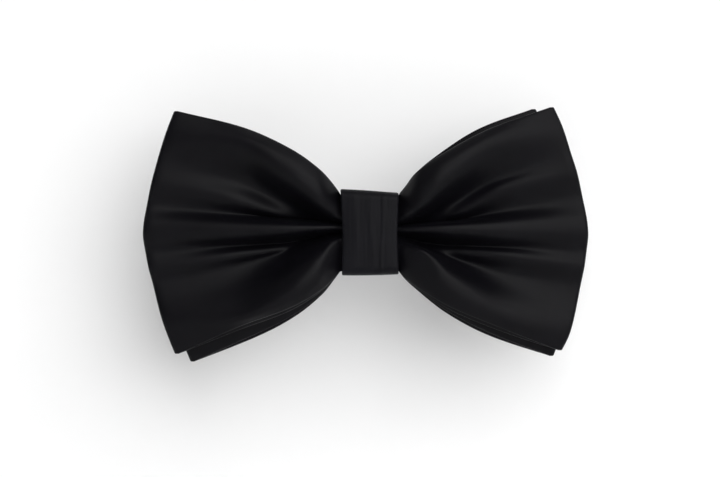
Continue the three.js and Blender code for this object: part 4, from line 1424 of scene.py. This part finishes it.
class BOWTIE_OT_grips(bpy.types.Operator):
    """Mould the ribbed pads on the jaws and on the plate"""

    bl_idname = "bow_tie.grips"
    bl_label = "Ribbed Grips"

    def execute(self, context):
        for name in SIDES:
            for kind, body, inwards in (("jaw_grip", f"{name}_jaw_lever", 1), ("plate_grip", "bow", -1)):
                pad = self.ribbed_pad(f"{name}_{kind}_pad", f"{name}_{kind}", inwards)
                finish_piece(pad, grip_plastic(), body, f"{name}_{kind}")
        return {"FINISHED"}

    def ribbed_pad(self, name, node, inwards):
        """A pad with ridges across one face, cut in the Y direction that `inwards` gives."""
        low, high = box_mm(node)
        pad = box_piece(name, low, high)
        length = high.x - low.x
        middle = (low.y + high.y) / 2
        cuts = PAD_RIDGES * RIDGE_STEPS
        slice_piece(pad, "X", [low.x + length * i / cuts for i in range(1, cuts)])
        slice_piece(pad, "Z", [low.z + PAD_MARGIN, high.z - PAD_MARGIN])

        def ribbed(x, y, z):
            if (y - middle) * inwards > 0:
                return x, y, z
            wave = 0.5 + 0.5 * math.cos(2 * math.pi * PAD_RIDGES * (x - low.x) / length)
            end = PAD_END_DROP if min(z - low.z, high.z - z) < 0.1 else 0.0
            return x, y + inwards * (RIDGE_DEPTH * wave + end), z

        reshape(pad, ribbed)
        soften(pad, 0.09, 3, 40)
        return pad


# ---- Stage ---------------------------------------------------------------------------------------
# Sizes and places of the stage, in metres.
BACKDROP_WIDTH, BACKDROP_DEPTH, BACKDROP_HEIGHT = 1.6, 1.5, 1.1
COVE_RADIUS = 0.045
KEY_PLACE = Vector((0.52, -1.15, 0.68))
KEY_SIZE = (1.8, 1.7)
VIEW_CENTRE = Vector((-0.00267, -0.011, -0.00155))


class BOWTIE_OT_stage(bpy.types.Operator):
    """Set up the pale backdrop and floor, the softbox, the surroundings and the camera"""

    bl_idname = "bow_tie.stage"
    bl_label = "Stage"

    def execute(self, context):
        stage = context.scene.bow_tie_stage
        self.add_backdrop(stage.backdrop_distance, stage.floor_height)
        self.add_softbox(context, stage.key_power)
        self.add_surroundings(context, stage.world_strength)
        self.add_camera(context, stage.camera_distance, stage.view_width)
        return {"FINISHED"}

    def add_backdrop(self, wall, floor):
        """A wall and floor in one sheet, with a rounded turn between them."""
        clear_selection()
        bpy.ops.mesh.primitive_cube_add(
            size=1,
            location=(0, wall - BACKDROP_DEPTH / 2, floor + BACKDROP_HEIGHT / 2),
            scale=(BACKDROP_WIDTH, BACKDROP_DEPTH, BACKDROP_HEIGHT),
        )
        backdrop = settled("backdrop")
        select_faces(backdrop, lambda centre, normal: normal.z > -0.5 and normal.y < 0.5)
        bpy.ops.mesh.delete(type="FACE")
        bpy.ops.object.mode_set(mode="OBJECT")
        select_edges(backdrop, lambda p: p.y > wall / MM - 1 and p.z < floor / MM + 1)
        bpy.ops.mesh.bevel(offset=COVE_RADIUS, segments=12)
        bpy.ops.mesh.select_all(action="SELECT")
        bpy.ops.mesh.flip_normals()
        bpy.ops.object.mode_set(mode="OBJECT")
        backdrop.data.shade_smooth()
        backdrop.data.materials.append(backdrop_material("Backdrop Paper", (0.92, 0.92, 0.92)))

    def add_softbox(self, context, power):
        """A large softbox to the upper right, turned towards the knot."""
        data = bpy.data.lights.new("key_softbox", "AREA")
        data.shape = "RECTANGLE"
        data.size, data.size_y = KEY_SIZE
        data.energy = power
        lamp = bpy.data.objects.new("key_softbox", data)
        lamp.location = KEY_PLACE
        lamp.rotation_euler = (-KEY_PLACE).to_track_quat("-Z", "Y").to_euler()
        context.scene.collection.objects.link(lamp)

    def add_surroundings(self, context, brightness):
        """White surroundings that light the tie gently and look fully white themselves."""
        world = bpy.data.worlds.new("White Surroundings")
        world.use_nodes = True
        tree = world.node_tree
        background = tree.nodes["Background"]
        background.inputs["Color"].default_value = (1, 1, 1, 1)
        path = tree.nodes.new("ShaderNodeLightPath")
        strength = node_of(tree, "ShaderNodeMapRange", To_Min=brightness, To_Max=1.0)
        link(tree, path.outputs["Is Camera Ray"], strength.inputs["Value"])
        link(tree, strength.outputs[0], background.inputs["Strength"])
        context.scene.world = world
        context.scene.view_settings.view_transform = "Standard"

    def add_camera(self, context, distance, width):
        """A camera straight in front of the bow."""
        data = bpy.data.cameras.new("camera")
        data.sensor_width = 36
        data.lens = data.sensor_width * distance / width
        data.clip_start = 0.01
        camera = bpy.data.objects.new("camera", data)
        camera.location = VIEW_CENTRE + Vector((0, -distance, 0))
        camera.rotation_euler = (math.pi / 2, 0, 0)
        context.scene.collection.objects.link(camera)
        context.scene.camera = camera


class BOWTIE_PT_panel(bpy.types.Panel):
    """Lists the bow tie's pieces and settings"""

    bl_label = "Bow Tie"
    bl_idname = "BOWTIE_PT_panel"
    bl_space_type = "VIEW_3D"
    bl_region_type = "UI"
    bl_category = "Bow Tie"

    def draw(self, context):
        layout = self.layout
        for group in (context.scene.bow_tie_sizes, context.scene.bow_tie_finish, context.scene.bow_tie_stage):
            box = layout.box()
            for name in group.__annotations__:
                box.prop(group, name)
        for operator in OPERATORS:
            layout.operator(operator.bl_idname)


OPERATORS = (
    BOWTIE_OT_stage,
    BOWTIE_OT_bows,
    BOWTIE_OT_gather_thread,
    BOWTIE_OT_knot,
    BOWTIE_OT_base_plate,
    BOWTIE_OT_jaws,
    BOWTIE_OT_pins,
    BOWTIE_OT_springs,
    BOWTIE_OT_grips,
    BOWTIE_OT_tacks,
)
GROUPS = {"bow_tie_sizes": BowTieSizes, "bow_tie_finish": BowTieFinish, "bow_tie_stage": BowTieStage}
CLASSES = (*GROUPS.values(), *OPERATORS, BOWTIE_PT_panel)


def register():
    for cls in CLASSES:
        bpy.utils.register_class(cls)
    for name, group in GROUPS.items():
        setattr(bpy.types.Scene, name, bpy.props.PointerProperty(type=group))


def unregister():
    for name in GROUPS:
        delattr(bpy.types.Scene, name)
    for cls in reversed(CLASSES):
        bpy.utils.unregister_class(cls)


def main():
    register()
    for operator in OPERATORS:
        group, name = operator.bl_idname.split(".")
        getattr(getattr(bpy.ops, group), name)()


if __name__ == "__main__":
    main()
